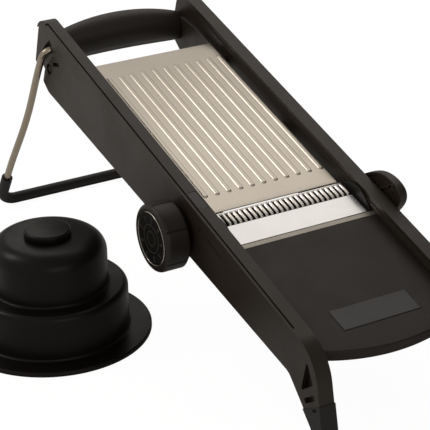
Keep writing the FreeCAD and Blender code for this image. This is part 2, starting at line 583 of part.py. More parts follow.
def face_plate():
    """A blade's blank on the top face: heel on the drum's bar, edge ground from below."""
    top = DRUM_N + DRUM_HALF
    heel = DRUM_S - DRUM_HALF
    edge = heel + BLADE_WIDTH
    return prism([(heel + 0.2, top), (heel + 0.2, top - BLADE_THICK + 0.6), (heel + 0.8, top - BLADE_THICK),
                  (edge - 3, top - BLADE_THICK), (edge, top - 0.15), (edge, top)],
                 -BLADE_LENGTH / 2, BLADE_LENGTH / 2)


def comb(pitch):
    """A row of upright teeth between a blade's edge and the next bar, on a strip fixed to that bar."""
    top = DRUM_N + DRUM_HALF
    near, far = DRUM_S - DRUM_HALF + BLADE_WIDTH + 0.4, DRUM_S + DRUM_HALF - BLADE_THICK - 0.1
    strip = box(-BLADE_LENGTH / 2, BLADE_LENGTH / 2, far - 4, far, top - BLADE_THICK, top - 0.4)
    count = round(BLADE_LENGTH / pitch)
    first = -(count - 1) / 2 * pitch
    bar_side = DRUM_S + DRUM_HALF - BLADE_THICK - DRUM_BAR - 0.1
    profile = [(near, top - 3), (near, top - 0.2), (near + 1.6, top + TOOTH_RISE),
               (far - 3.6, top + TOOTH_RISE), (far, top - 0.4), (far, top - BLADE_THICK),
               (bar_side, top - BLADE_THICK), (bar_side, top - 3)]
    for i in range(count):
        x = first + i * pitch
        strip = strip.fuse(prism(profile, x - TOOTH_WIDTH / 2, x + TOOTH_WIDTH / 2))
    return strip.removeSplitter()


def wavy_plate():
    plate = face_plate()
    top = DRUM_N + DRUM_HALF
    edge = DRUM_S - DRUM_HALF + BLADE_WIDTH
    count = int(BLADE_LENGTH / WAVE_PITCH) - 1
    for i in range(count):
        x = (i - (count - 1) / 2) * WAVE_PITCH
        plate = plate.cut(Part.makeCylinder(WAVE_PITCH * 0.36, 9, V(x, edge - 8, top + WAVE_PITCH * 0.2), V(0, 1, 0)))
    return plate


def drum_screws():
    """Screws that hold the four blades' heels on the drum's bars, flush with the blades."""
    screws = []
    top = DRUM_N + DRUM_HALF
    for quarter in (1, 2, 3):
        for x in DRUM_SCREWS_X:
            head = V(x, DRUM_S - DRUM_HALF + 4, top)
            cone = Part.makeCone(DRUM_SCREW_HEAD_RADIUS, DRUM_SCREW_RADIUS, 1.0, head, V(0, 0, -1))
            shank = Part.makeCylinder(DRUM_SCREW_RADIUS, 4.5, head, V(0, 0, -1))
            screws.append(on_face(cone.fuse(shank), quarter))
    return Part.makeCompound(screws)


def left_axle():
    return rod(DRUM_AXLE_RADIUS, -OUTER + RAIL_WALL + GAP, -DISC_INNER + DRUM_HUB_LENGTH - AXLE_STOP, DRUM_S, DRUM_N)


def right_axle():
    return rod(DRUM_AXLE_RADIUS, DISC_INNER - DRUM_HUB_LENGTH + AXLE_STOP, LEVER_FRONT - AXLE_STOP, DRUM_S, DRUM_N)


def lever_hull(shrink, x0, x1):
    """The lever's egg-shaped outline around the drum's axis, drawn in by a margin and thickened."""
    face = Part.Face(outline(LEVER_OUTLINE))
    if shrink:
        face = face.makeOffset2D(-shrink)
    face.translate(V(x0, 0, 0))
    return face.extrude(V(x1 - x0, 0, 0))


def selector_lever():
    """Thin lever, hollow towards the rail, with a web across its hollow and a hub on the axle."""
    lever = lever_hull(0, LEVER_BACK, LEVER_FRONT)
    rim = [edge for edge in lever.Edges if edge.BoundBox.XMin > LEVER_FRONT - 0.01]
    lever = lever.makeFillet(1.5, rim)
    lever = lever.cut(lever_hull(LEVER_RIM, LEVER_BACK - 1, LEVER_BACK + LEVER_HOLLOW))
    hub = rod(DRUM_AXLE_RADIUS + 4, OUTER + GAP, LEVER_FRONT - 1, DRUM_S, DRUM_N)
    web = box(LEVER_BACK + 0.6, LEVER_BACK + LEVER_HOLLOW, DRUM_S - LEVER_WEB_HALF, DRUM_S + LEVER_WEB_HALF,
              DRUM_N - 0.9, DRUM_N + 0.9)
    web.rotate(V(0, DRUM_S, DRUM_N), X_AXIS, LEVER_WEB_ANGLE)
    grip = box(LEVER_FRONT - 0.5, LEVER_FRONT + LEVER_GRIP_HEIGHT, DRUM_S - LEVER_GRIP_LENGTH / 2,
               DRUM_S + LEVER_GRIP_LENGTH / 2, DRUM_N - LEVER_GRIP_WIDTH / 2, DRUM_N + LEVER_GRIP_WIDTH / 2)
    grip = grip.makeFillet(3.5, [edge for edge in grip.Edges if edge.BoundBox.XMin > LEVER_FRONT])
    grip.rotate(V(0, DRUM_S, DRUM_N), X_AXIS, LEVER_GRIP_ANGLE)
    lever = lever.fuse(hub).fuse(web).fuse(grip)
    return lever.cut(rod(DRUM_AXLE_RADIUS, OUTER, LEVER_FRONT - AXLE_STOP, DRUM_S, DRUM_N)).removeSplitter()


# ---------------------------------------------------------------- thickness dial, shaft and cams
def thickness_knob():
    """Knob on the left end of the shaft, with six lengthways seams and a recess for the dial."""
    knob = rod(KNOB_RADIUS, -KNOB_FRONT, -KNOB_BACK, SHAFT_S, SHAFT_N)
    knob = knob.makeFillet(KNOB_EDGE, [edge for edge in knob.Edges if edge.BoundBox.XMax < -KNOB_FRONT + 0.01])
    knob = knob.makeChamfer(KNOB_BACK_CHAMFER, [edge for edge in knob.Edges if edge.BoundBox.XMin > -KNOB_BACK - 0.01])
    for i in range(KNOB_SEAMS):
        angle = math.radians(KNOB_SEAM_ANGLE) + 2 * math.pi * i / KNOB_SEAMS
        knob = knob.cut(rod(KNOB_SEAM_WIDTH, -KNOB_FRONT - 1, -KNOB_BACK + 1,
                            SHAFT_S + KNOB_RADIUS * math.cos(angle), SHAFT_N + KNOB_RADIUS * math.sin(angle)))
    knob = knob.cut(rod(DIAL_RADIUS + DIAL_RING, -KNOB_FRONT - 1, -KNOB_FRONT + DIAL_DEPTH, SHAFT_S, SHAFT_N))
    knob = knob.fuse(rod(KNOB_NECK_RADIUS, -KNOB_BACK - 1, -OUTER - GAP, SHAFT_S, SHAFT_N))
    return knob.cut(rod(SHAFT_RADIUS, -KNOB_FRONT + 6, -OUTER, SHAFT_S, SHAFT_N)).removeSplitter()


def dial_face():
    return rod(DIAL_RADIUS, -KNOB_FRONT + DIAL_DEPTH - DIAL_THICK, -KNOB_FRONT + DIAL_DEPTH, SHAFT_S, SHAFT_N)


def dial_ring():
    return ring(DIAL_RADIUS + DIAL_RING, DIAL_RADIUS, -KNOB_FRONT + 0.1, -KNOB_FRONT + DIAL_DEPTH, SHAFT_S, SHAFT_N)


def cam_height(turn):
    return CAM_RADIUS - CAM_DROP * turn / CAM_TURN


def cam(x):
    """Spiral cam: full height at dial 0, lowest after CAM_TURN, then a step back up."""
    def at(turn, radius):
        angle = math.radians(turn)
        return V(x - CAM_WIDTH / 2, SHAFT_S + radius * math.sin(angle), SHAFT_N + radius * math.cos(angle))
    spiral = Part.BSplineCurve()
    spiral.interpolate([at(turn, cam_height(turn)) for turn in range(0, int(CAM_TURN) + 1, 30)])
    low, step = cam_height(CAM_TURN), CAM_STEP
    edges = [spiral.toShape(),
             Part.Arc(at(CAM_TURN, low), at((CAM_TURN + step) / 2, low), at(step, low)).toShape(),
             Part.LineSegment(at(step, low), at(step, CAM_RADIUS)).toShape(),
             Part.Arc(at(step, CAM_RADIUS), at((step + 360) / 2, CAM_RADIUS), at(360, CAM_RADIUS)).toShape()]
    face = Part.Face(Part.Wire(edges))
    return face.extrude(V(CAM_WIDTH, 0, 0)).cut(rod(SHAFT_RADIUS, x - CAM_WIDTH, x + CAM_WIDTH, SHAFT_S, SHAFT_N))


def thickness_shaft():
    return rod(SHAFT_RADIUS, -KNOB_FRONT + 6, OUTER - RAIL_WALL - 1, SHAFT_S, SHAFT_N)


# ---------------------------------------------------------------- stand
def stand_path(start_x):
    pivot, bar = (PIVOT_Y, PIVOT_Z), (STAND_BAR_Y, STAND_SLEEVE_RADIUS)
    return [(V(-start_x, *pivot), 0), (V(-STAND_TOP_HALF, *pivot), WIRE_BEND),
            (V(-STAND_HALF, *bar), STAND_CORNER), (V(STAND_HALF, *bar), STAND_CORNER),
            (V(STAND_TOP_HALF, *pivot), WIRE_BEND), (V(start_x, *pivot), 0)]


def stand_wire():
    return pipe(stand_path(INNER + 1), WIRE_RADIUS)


def stand_sleeve():
    """Rubber sleeve over the bar, its corners and the foot of each leg."""
    top, corner = V(-STAND_TOP_HALF, PIVOT_Y, PIVOT_Z), V(-STAND_HALF, STAND_BAR_Y, STAND_SLEEVE_RADIUS)
    up = top - corner
    up.normalize()
    end = corner + up * SLEEVE_UP
    other = V(-end.x, end.y, end.z)
    path = [(end, 0), *stand_path(INNER)[2:4], (other, 0)]
    return pipe(path, STAND_SLEEVE_RADIUS).cut(stand_wire())


# ---------------------------------------------------------------- food holder
def revolve(points, rounds):
    """Turn a closed (radius, z) profile about the holder's axis; rounds maps a corner to its radius."""
    corners = [(r, z, rounds.get(i, 0)) for i, (r, z) in enumerate(points)]
    face = Part.Face(outline(corners))
    solid = face.revolve(V(0, 0, 0), V(0, 0, 1), 360)
    solid.translate(V(HOLDER_X, HOLDER_Y, 0))
    return solid


def holder_shell():
    """Two-tier hat with a flat brim, open below, with a guide tube for the plunger's rod."""
    wall, bore = HOLDER_WALL, ROD_RADIUS + RUNNING
    profile = [(TIER_RADIUS - wall, 0), (BRIM_RADIUS, 0), (BRIM_RADIUS, BRIM_THICK), (TIER_RADIUS, BRIM_THICK),
               (TIER_RADIUS, TIER_TOP), (DOME_RADIUS, TIER_TOP), (DOME_RADIUS, DOME_TOP), (bore, DOME_TOP),
               (bore, DOME_TOP - GUIDE_LENGTH), (GUIDE_RADIUS, DOME_TOP - GUIDE_LENGTH),
               (GUIDE_RADIUS, DOME_TOP - wall), (DOME_RADIUS - wall, DOME_TOP - wall),
               (DOME_RADIUS - wall, TIER_TOP - wall), (TIER_RADIUS - wall, TIER_TOP - wall)]
    rounds = {1: 0.6, 2: 1.2, 3: 1.5, 4: TIER_ROUND, 5: 1.5, 6: DOME_ROUND, 11: DOME_ROUND - wall,
              13: TIER_ROUND - wall}
    return revolve(profile, rounds)


def plunger_cap():
    cap = [(0, DOME_TOP + GAP), (CAP_RADIUS, DOME_TOP + GAP), (CAP_RADIUS, CAP_TOP), (0, CAP_TOP)]
    return revolve(cap, {1: 0.5, 2: 1.6})


def plunger_rod():
    top, bottom = DOME_TOP + GAP, PRESS_BOTTOM + PRESS_THICK
    return Part.makeCylinder(ROD_RADIUS, top - bottom, V(HOLDER_X, HOLDER_Y, bottom))


def press_plate():
    plate = Part.makeCylinder(PRESS_RADIUS, PRESS_THICK, V(HOLDER_X, HOLDER_Y, PRESS_BOTTOM))
    plate = plate.makeFillet(1.0, plate.Edges)
    for x, y in prong_places():
        plate = plate.cut(Part.makeCylinder(PRONG_RADIUS, PRESS_THICK, V(x, y, PRESS_BOTTOM)))
    return plate


def prong_places():
    for radius, count in PRONG_CIRCLES:
        for i in range(count):
            angle = 2 * math.pi * i / count
            yield HOLDER_X + radius * math.cos(angle), HOLDER_Y + radius * math.sin(angle)


def prongs():
    spikes = []
    for x, y in prong_places():
        point = PRESS_BOTTOM - PRONG_LENGTH
        shank = Part.makeCylinder(PRONG_RADIUS, PRESS_BOTTOM + PRESS_THICK - point - PRONG_TIP_LENGTH,
                                  V(x, y, point + PRONG_TIP_LENGTH))
        tip = Part.makeCone(PRONG_TIP_RADIUS, PRONG_RADIUS, PRONG_TIP_LENGTH, V(x, y, point))
        spikes.append(shank.fuse(tip).removeSplitter())
    return Part.makeCompound(spikes)


# ---------------------------------------------------------------- build
def build():
    rail = left_rail()
    axle_bush, blind_bush = (ring(DRUM_AXLE_RADIUS + BUSH_WALL, DRUM_AXLE_RADIUS + RUNNING, outer_end,
                                  -INNER - 0.2, DRUM_S, DRUM_N) for outer_end in (-OUTER + 0.2, -OUTER + RAIL_WALL))
    shaft_bush = ring(SHAFT_RADIUS + BUSH_WALL, SHAFT_RADIUS + RUNNING, -OUTER + 0.2, -INNER - 0.2,
                      SHAFT_S, SHAFT_N)
    stand_bush = ring(WIRE_RADIUS + BUSH_WALL, WIRE_RADIUS + RUNNING, -OUTER + STAND_POCKET, -INNER - 1,
                      PIVOT_S, PIVOT_N)
    bracket = left_hinge_bracket()
    deck_pieces = {
        "left_rail": rail.cut(window_space(0, 1)).cut(side_recess()),
        "right_rail": mirror(rail.cut(axle_bore(-OUTER - 1))),
        "left_axle_bush": blind_bush, "right_axle_bush": mirror(axle_bush),
        "left_shaft_bush": shaft_bush, "right_shaft_bush": mirror(shaft_bush),
        "left_stand_bush": stand_bush, "right_stand_bush": mirror(stand_bush),
        "thickness_window": window_space(0.1, -0.1),
        "runout_deck": runout_deck(), "badge_plate": badge_plate(), "lip_strip": lip_strip(),
        "brace_screws": brace_screws(),
        "left_hinge_bracket": bracket, "right_hinge_bracket": mirror(bracket),
        "handle_grip": handle_grip(), "handle_core": handle_core(),
        "ramp_plate": ramp_plate(), "ramp_carrier": ramp_carrier(), "ramp_pin": ramp_pin(),
        "drum_frame": drum_frame(), "drum_screws": drum_screws(),
        "fine_blade": face_plate(), "fine_teeth": comb(TOOTH_PITCH_FINE),
        "straight_blade": on_face(face_plate(), 1),
        "wide_blade": on_face(face_plate(), 2), "wide_teeth": on_face(comb(TOOTH_PITCH_WIDE), 2),
        "wavy_blade": on_face(wavy_plate(), 3),
        "left_axle": left_axle(), "right_axle": right_axle(), "selector_lever": selector_lever(),
        "thickness_knob": thickness_knob(), "dial_face": dial_face(), "dial_ring": dial_ring(),
        "thickness_shaft": thickness_shaft(), "left_cam": cam(-CAM_X), "right_cam": cam(CAM_X)}
    for name, dims in BRACES.items():
        deck_pieces[name] = brace(*dims)
    holes = drum_screws()
    for name in ("straight_blade", "wide_blade", "wavy_blade", "drum_frame"):
        deck_pieces[name] = deck_pieces[name].cut(holes)
    for name, shape in deck_pieces.items():
        export(name, place(shape))
    foot = left_foot()
    bench_pieces = {
        "left_foot": foot, "right_foot": mirror(foot),
        "stand_wire": stand_wire(), "stand_sleeve": stand_sleeve(),
        "holder_shell": holder_shell(), "plunger_cap": plunger_cap(), "plunger_rod": plunger_rod(),
        "press_plate": press_plate(), "prongs": prongs()}
    for name, shape in bench_pieces.items():
        export(name, shape)


os.makedirs("parts", exist_ok=True)
build()
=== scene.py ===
"""Looks of the mandoline slicer: every finish, and the shells and soft parts as modelled meshes.

Lengths are in metres. The slicer's pieces are placed in its deck frame: x across, s up the deck
towards the handle and n square to the deck, with s = 0 at the front of the blade opening and n = 0 at
the rail tops. deck() turns that into the frame of the CAD model.
"""
import json
import math
import bmesh
import bpy
from mathutils import Matrix, Quaternion, Vector


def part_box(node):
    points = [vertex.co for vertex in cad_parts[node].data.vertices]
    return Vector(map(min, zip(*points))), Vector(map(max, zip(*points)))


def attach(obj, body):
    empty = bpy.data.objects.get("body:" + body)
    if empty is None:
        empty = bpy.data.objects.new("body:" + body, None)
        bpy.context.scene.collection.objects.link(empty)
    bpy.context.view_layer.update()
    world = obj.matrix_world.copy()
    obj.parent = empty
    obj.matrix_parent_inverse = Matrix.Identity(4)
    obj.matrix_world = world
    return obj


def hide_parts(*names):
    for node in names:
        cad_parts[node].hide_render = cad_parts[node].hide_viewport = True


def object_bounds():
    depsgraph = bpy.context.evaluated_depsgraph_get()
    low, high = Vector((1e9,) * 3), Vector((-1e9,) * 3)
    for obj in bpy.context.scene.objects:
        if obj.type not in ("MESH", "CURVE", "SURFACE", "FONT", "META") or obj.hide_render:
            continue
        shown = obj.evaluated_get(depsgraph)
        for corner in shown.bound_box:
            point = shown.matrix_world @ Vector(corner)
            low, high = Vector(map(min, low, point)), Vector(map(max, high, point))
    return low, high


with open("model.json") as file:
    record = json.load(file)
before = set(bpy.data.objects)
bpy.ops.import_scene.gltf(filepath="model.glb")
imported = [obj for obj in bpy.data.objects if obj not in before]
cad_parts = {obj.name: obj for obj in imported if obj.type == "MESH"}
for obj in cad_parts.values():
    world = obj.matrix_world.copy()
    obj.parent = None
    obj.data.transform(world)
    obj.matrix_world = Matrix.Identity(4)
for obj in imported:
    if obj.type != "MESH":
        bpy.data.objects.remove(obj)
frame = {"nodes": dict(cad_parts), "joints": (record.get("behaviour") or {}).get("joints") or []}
cad_low, cad_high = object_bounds()

MM = 0.001
NODES = frame["nodes"]
JOINTS = {joint["name"]: joint for joint in frame["joints"]}

# ---------------------------------------------------------------- the deck frame
DRUM_AXIS = (18.5 * MM, -23.5 * MM)        # s and n of the drum's axis
HINGE_AXIS = (197.0 * MM, -14.0 * MM)      # s and n of the ramp's hinge
DRUM_AT = Vector(JOINTS["drum_turn"]["pos_m"])
HINGE_AT = Vector(JOINTS["ramp_tilt"]["pos_m"])
SHAFT_AT = Vector(JOINTS["thickness_dial"]["pos_m"])
PIVOT_AT = Vector(JOINTS["stand_fold"]["pos_m"])
SLOPE = (math.atan2(HINGE_AT.z - DRUM_AT.z, HINGE_AT.y - DRUM_AT.y)
         - math.atan2(HINGE_AXIS[1] - DRUM_AXIS[1], HINGE_AXIS[0] - DRUM_AXIS[0]))
UP_DECK = Vector((0, math.cos(SLOPE), math.sin(SLOPE)))
OFF_DECK = Vector((0, -math.sin(SLOPE), math.cos(SLOPE)))
DECK_ORIGIN = DRUM_AT - UP_DECK * DRUM_AXIS[0] - OFF_DECK * DRUM_AXIS[1]


def deck(x, s, n):
    """A point of the deck frame, in the frame of the CAD model."""
    return DECK_ORIGIN + Vector((x, 0, 0)) + UP_DECK * s + OFF_DECK * n


DECK_TURN = Matrix.Translation(DECK_ORIGIN) @ Matrix.Rotation(SLOPE, 4, "X")


# ---------------------------------------------------------------- shader groups
def new_group(name, inputs, outputs):
    """A shader node group with float inputs (name, default) and outputs (name, socket kind)."""
    group = bpy.data.node_groups.new(name, "ShaderNodeTree")
    for label, default in inputs:
        socket = group.interface.new_socket(label, in_out="INPUT", socket_type="NodeSocketFloat")
        socket.default_value = default
    for label, kind in outputs:
        group.interface.new_socket(label, in_out="OUTPUT", socket_type=kind)
    return group, group.nodes.new("NodeGroupInput"), group.nodes.new("NodeGroupOutput")


def add(tree, kind, **settings):
    """A node with its properties set; a key that is a socket's name sets that socket."""
    node = tree.nodes.new(kind)
    for key, value in settings.items():
        if key in ("operation", "blend_type", "data_type", "noise_dimensions", "feature", "samples",
                   "use_clamp", "distance", "interpolation_type"):
            setattr(node, key, value)
        else:
            node.inputs[key.replace("_", " ")].default_value = value
    return node


def math_node(tree, operation, first, second=None, clamp=False):
    node = tree.nodes.new("ShaderNodeMath")
    node.operation = operation
    node.use_clamp = clamp
    for index, value in enumerate((first, second)):
        if value is None:
            continue
        if isinstance(value, (int, float)):
            node.inputs[index].default_value = value
        else:
            tree.links.new(value, node.inputs[index])
    return node.outputs[0]


def remap(tree, value, low, high, to_low=0.0, to_high=1.0):
    node = tree.nodes.new("ShaderNodeMapRange")
    node.clamp = True
    tree.links.new(value, node.inputs["Value"])
    for label, number in (("From Min", low), ("From Max", high), ("To Min", to_low), ("To Max", to_high)):
        node.inputs[label].default_value = number
    return node.outputs["Result"]


def moulded_grain():
    """Fine spark-eroded texture of a moulding, with faint flow marks."""
    group, source, result = new_group(
        "moulded grain", [("Size", 1800.0)], [("Height", "NodeSocketFloat"), ("Flow", "NodeSocketFloat")])
    place = group.nodes.new("ShaderNodeTexCoord").outputs["Object"]
    fine = add(group, "ShaderNodeTexNoise", Detail=3.0, Roughness=0.6)
    flow = add(group, "ShaderNodeTexNoise", Scale=16.0, Detail=3.0, Roughness=0.55)
    group.links.new(place, fine.inputs["Vector"])
    group.links.new(source.outputs["Size"], fine.inputs["Scale"])
    group.links.new(place, flow.inputs["Vector"])
    group.links.new(fine.outputs["Fac"], result.inputs["Height"])
    group.links.new(flow.outputs["Fac"], result.inputs["Flow"])
    return group


def brushed_lines():
    """Long fine scratches that run up the deck, and a slow change of tone across them."""
    group, source, result = new_group(
        "brushed lines", [("Across", 2600.0), ("Along", 16.0)],
        [("Height", "NodeSocketFloat"), ("Tone", "NodeSocketFloat")])
    place = group.nodes.new("ShaderNodeTexCoord").outputs["Object"]
    level = group.nodes.new("ShaderNodeMapping")
    level.vector_type = "POINT"
    level.inputs["Rotation"].default_value = (-SLOPE, 0, 0)
    group.links.new(place, level.inputs["Vector"])
    split = group.nodes.new("ShaderNodeSeparateXYZ")
    group.links.new(level.outputs["Vector"], split.inputs["Vector"])
    join = group.nodes.new("ShaderNodeCombineXYZ")
    group.links.new(math_node(group, "MULTIPLY", split.outputs["X"], source.outputs["Across"]), join.inputs["X"])
    group.links.new(math_node(group, "MULTIPLY", split.outputs["Y"], source.outputs["Along"]), join.inputs["Y"])
    join.inputs["Z"].default_value = 0.0
    lines = add(group, "ShaderNodeTexNoise", Scale=1.0, Detail=4.0, Roughness=0.65)
    group.links.new(join.outputs["Vector"], lines.inputs["Vector"])
    tone = add(group, "ShaderNodeTexNoise", Scale=22.0, Detail=2.0)
    group.links.new(place, tone.inputs["Vector"])
    group.links.new(lines.outputs["Fac"], result.inputs["Height"])
    group.links.new(tone.outputs["Fac"], result.inputs["Tone"])
    return group


def rubbed_edges():
    """Mask of the edges that hands and the bench have rubbed, broken up by noise."""
    group, source, result = new_group("rubbed edges", [("Reach", 0.0008)], [("Mask", "NodeSocketFloat")])
    bevel = add(group, "ShaderNodeBevel", samples=4)
    group.links.new(source.outputs["Reach"], bevel.inputs["Radius"])
    geometry = group.nodes.new("ShaderNodeNewGeometry")
    dot = group.nodes.new("ShaderNodeVectorMath")
    dot.operation = "DOT_PRODUCT"
    group.links.new(bevel.outputs["Normal"], dot.inputs[0])
    group.links.new(geometry.outputs["Normal"], dot.inputs[1])
    edge = remap(group, dot.outputs["Value"], 0.985, 0.80)
    noise = add(group, "ShaderNodeTexNoise", Scale=90.0, Detail=4.0)
    place = group.nodes.new("ShaderNodeTexCoord").outputs["Object"]
    group.links.new(place, noise.inputs["Vector"])
    broken = remap(group, noise.outputs["Fac"], 0.35, 0.62, 0.35, 1.0)
    group.links.new(math_node(group, "MULTIPLY", edge, broken), result.inputs["Mask"])
    return group


def handling():
    """Slow blotches left by wiping and handling, and a sprinkle of dust specks."""
    group, source, result = new_group(
        "handling", [("Blotch", 35.0), ("Speck", 1400.0)], [("Smear", "NodeSocketFloat"), ("Dust", "NodeSocketFloat")])
    place = group.nodes.new("ShaderNodeTexCoord").outputs["Object"]
    smear = add(group, "ShaderNodeTexNoise", Detail=5.0, Roughness=0.6, Distortion=0.6)
    group.links.new(place, smear.inputs["Vector"])
    group.links.new(source.outputs["Blotch"], smear.inputs["Scale"])
    speck = add(group, "ShaderNodeTexVoronoi")
    group.links.new(place, speck.inputs["Vector"])
    group.links.new(source.outputs["Speck"], speck.inputs["Scale"])
    dust = remap(group, speck.outputs["Distance"], 0.12, 0.06)
    group.links.new(smear.outputs["Fac"], result.inputs["Smear"])
    group.links.new(dust, result.inputs["Dust"])
    return group


GRAIN, BRUSHED, RUBBED, HANDLED = moulded_grain(), brushed_lines(), rubbed_edges(), handling()


# ---------------------------------------------------------------- materials
def use(tree, group, **values):
    node = tree.nodes.new("ShaderNodeGroup")
    node.node_tree = group
    for label, value in values.items():
        node.inputs[label].default_value = value
    return node


def blend_colours(tree, factor, first, second):
    """Mix of two colours by a mask; either may be a socket."""
    mix = tree.nodes.new("ShaderNodeMix")
    mix.data_type = "RGBA"
    tree.links.new(factor, mix.inputs["Factor"])
    for socket, colour in ((mix.inputs["A"], first), (mix.inputs["B"], second)):
        if isinstance(colour, tuple):
            socket.default_value = (*colour, 1)
        else:
            tree.links.new(colour, socket)
    return mix.outputs["Result"]


def start_material(name):
    material = bpy.data.materials.new(name)
    material.use_nodes = True
    shader = material.node_tree.nodes["Principled BSDF"]
    return material, material.node_tree, shader


def raise_surface(tree, shader, height, depth, distance=0.001):
    bump = tree.nodes.new("ShaderNodeBump")
    bump.inputs["Strength"].default_value = depth
    bump.inputs["Distance"].default_value = distance
    tree.links.new(height, bump.inputs["Height"])
    tree.links.new(bump.outputs["Normal"], shader.inputs["Normal"])


def plastic(name, colour, worn, rough, grain_size=1800.0, grain_depth=0.12, edge=0.0008, wear=0.35,
            coat=0.0, specular=0.5):
    """Moulded plastic or rubber: grain in the surface, paler rubbed edges, uneven sheen."""
    material, tree, shader = start_material(name)
    grain = use(tree, GRAIN, Size=grain_size)
    hands = use(tree, HANDLED)
    edges = use(tree, RUBBED, Reach=edge)
    mask = math_node(tree, "MULTIPLY", edges.outputs["Mask"], wear)
    deep = tuple(channel * 0.86 for channel in colour)
    body = blend_colours(tree, remap(tree, grain.outputs["Flow"], 0.3, 0.7), deep, colour)
    dusted = blend_colours(tree, math_node(tree, "MULTIPLY", hands.outputs["Dust"], 0.10), body, worn)
    tree.links.new(blend_colours(tree, mask, dusted, worn), shader.inputs["Base Color"])
    sheen = remap(tree, hands.outputs["Smear"], 0.3, 0.7, rough - 0.05, rough + 0.06)
    tree.links.new(sheen, shader.inputs["Roughness"])
    shader.inputs["Specular IOR Level"].default_value = specular
    shader.inputs["Coat Weight"].default_value = coat
    raise_surface(tree, shader, grain.outputs["Height"], grain_depth, 0.0002)
    return material


def steel(name, colour, dark, rough, across=2600.0, along=16.0, depth=0.10, anisotropy=0.0, painted_shade=None):
    """Steel with brushing lines up the deck; painted shade darkens it towards one end (direction, s from, s to,
    factor).
    """
    material, tree, shader = start_material(name)
    lines = use(tree, BRUSHED, Across=across, Along=along)
    hands = use(tree, HANDLED)
    tint = blend_colours(tree, remap(tree, lines.outputs["Height"], 0.3, 0.7), dark, colour)
    # painted shade: the colour darkens with position along the given direction, in place of light falling off across
    # the sheet
    if painted_shade:
        place = add(tree, "ShaderNodeNewGeometry").outputs["Position"]
        up = add(tree, "ShaderNodeVectorMath", operation="DOT_PRODUCT")
        tree.links.new(place, up.inputs[0])
        up.inputs[1].default_value = painted_shade[0]
        painted_shade_mask = remap(tree, up.outputs["Value"], painted_shade[1], painted_shade[2])
        tint = blend_colours(tree, painted_shade_mask, tint, tuple(part * painted_shade[3] for part in dark))
    tree.links.new(tint, shader.inputs["Base Color"])
    shader.inputs["Metallic"].default_value = 1.0
    shader.inputs["Anisotropic"].default_value = anisotropy
    fine = remap(tree, lines.outputs["Height"], 0.25, 0.75, rough - 0.05, rough + 0.05)
    smear = remap(tree, hands.outputs["Smear"], 0.3, 0.7, -0.03, 0.04)
    tree.links.new(math_node(tree, "ADD", fine, smear), shader.inputs["Roughness"])
    raise_surface(tree, shader, lines.outputs["Height"], depth, 0.00005)
    return material


MATERIALS = {
    "rail": plastic("rail plastic", (0.0230, 0.0165, 0.0120), (0.050, 0.044, 0.038), 0.40, wear=0.5, specular=0.36),
    "deck": plastic("deck plastic", (0.0180, 0.0128, 0.0115), (0.050, 0.045, 0.042), 0.46, grain_size=1500.0,
                    grain_depth=0.16, specular=0.30),
    "under": plastic("inner plastic", (0.0085, 0.0075, 0.0070), (0.035, 0.032, 0.030), 0.52, specular=0.35),
    "grip": plastic("soft grip", (0.0210, 0.0160, 0.0125), (0.036, 0.031, 0.027), 0.46, grain_size=2600.0,
                    grain_depth=0.10, specular=0.42),
    "rubber": plastic("boot rubber", (0.0090, 0.0080, 0.0075), (0.035, 0.032, 0.030), 0.50, grain_size=2200.0,
                      specular=0.4),
    "knob": plastic("knob plastic", (0.0150, 0.0115, 0.0085), (0.036, 0.032, 0.027), 0.45, grain_size=2200.0,
                    grain_depth=0.08, specular=0.35),
    "holder": plastic("holder plastic", (0.0062, 0.0045, 0.0032), (0.022, 0.019, 0.016), 0.34, grain_size=2600.0,
                      grain_depth=0.05, wear=0.2, specular=0.18),
    "badge": plastic("badge plate", (0.044, 0.043, 0.043), (0.09, 0.085, 0.08), 0.42, grain_size=3000.0, specular=0.42),
    "window": plastic("window insert", (0.020, 0.018, 0.017), (0.05, 0.046, 0.042), 0.34, specular=0.42),
    "bush": plastic("bush plastic", (0.52, 0.50, 0.45), (0.6, 0.58, 0.54), 0.45),
    "dial": plastic("dial plate", (0.0030, 0.0024, 0.0018), (0.012, 0.010, 0.008), 0.45, grain_size=3000.0,
                    specular=0.3),
    "print": plastic("dial print", (0.060, 0.048, 0.038), (0.10, 0.085, 0.07), 0.55, grain_size=3000.0),
    # the ramp's colour carries painted shade, darker towards the handle end and slightly towards the left
    "ramp": steel("brushed ramp", (0.60, 0.55, 0.48), (0.58, 0.53, 0.46), 0.30, depth=0.02,
                  painted_shade=(tuple(UP_DECK + Vector((-0.06, 0, 0))), 0.02, 0.13, 0.70)),
    "blade": steel("ground blade", (0.88, 0.875, 0.87), (0.84, 0.835, 0.83), 0.30, across=3600.0, along=30.0,
                   depth=0.03),
    "lip": steel("lip steel", (0.44, 0.41, 0.36), (0.32, 0.30, 0.26), 0.42, across=1200.0, along=400.0, depth=0.2),
    "teeth": steel("tooth steel", (0.88, 0.85, 0.80), (0.70, 0.67, 0.62), 0.24, depth=0.03),
    "wire": steel("nickel wire", (0.46, 0.40, 0.32), (0.38, 0.33, 0.26), 0.24, across=900.0, along=900.0, depth=0.04),
    "bright": steel("bright ring", (0.86, 0.82, 0.76), (0.70, 0.66, 0.60), 0.27, depth=0.04),
    "turned": steel("turned steel", (0.58, 0.57, 0.55), (0.44, 0.43, 0.41), 0.30, across=500.0, along=2500.0),
}


def dress(piece, material):
    piece.data.materials.clear()
    piece.data.materials.append(MATERIALS[material])
    return piece


# ---------------------------------------------------------------- mesh helpers
def keep(name, mesh, material, body, slot, *nodes):
    """Put a finished mesh in the scene, riding on a body, and hide the CAD nodes that it stands for."""
    piece = bpy.data.objects.new(name, mesh)
    bpy.context.scene.collection.objects.link(piece)
    dress(piece, material)
    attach(piece, body)
    if nodes:
        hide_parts(*nodes)
    return piece


def smooth(mesh, angle=35):
    mesh.shade_smooth()
    mesh.set_sharp_from_angle(angle=math.radians(angle))


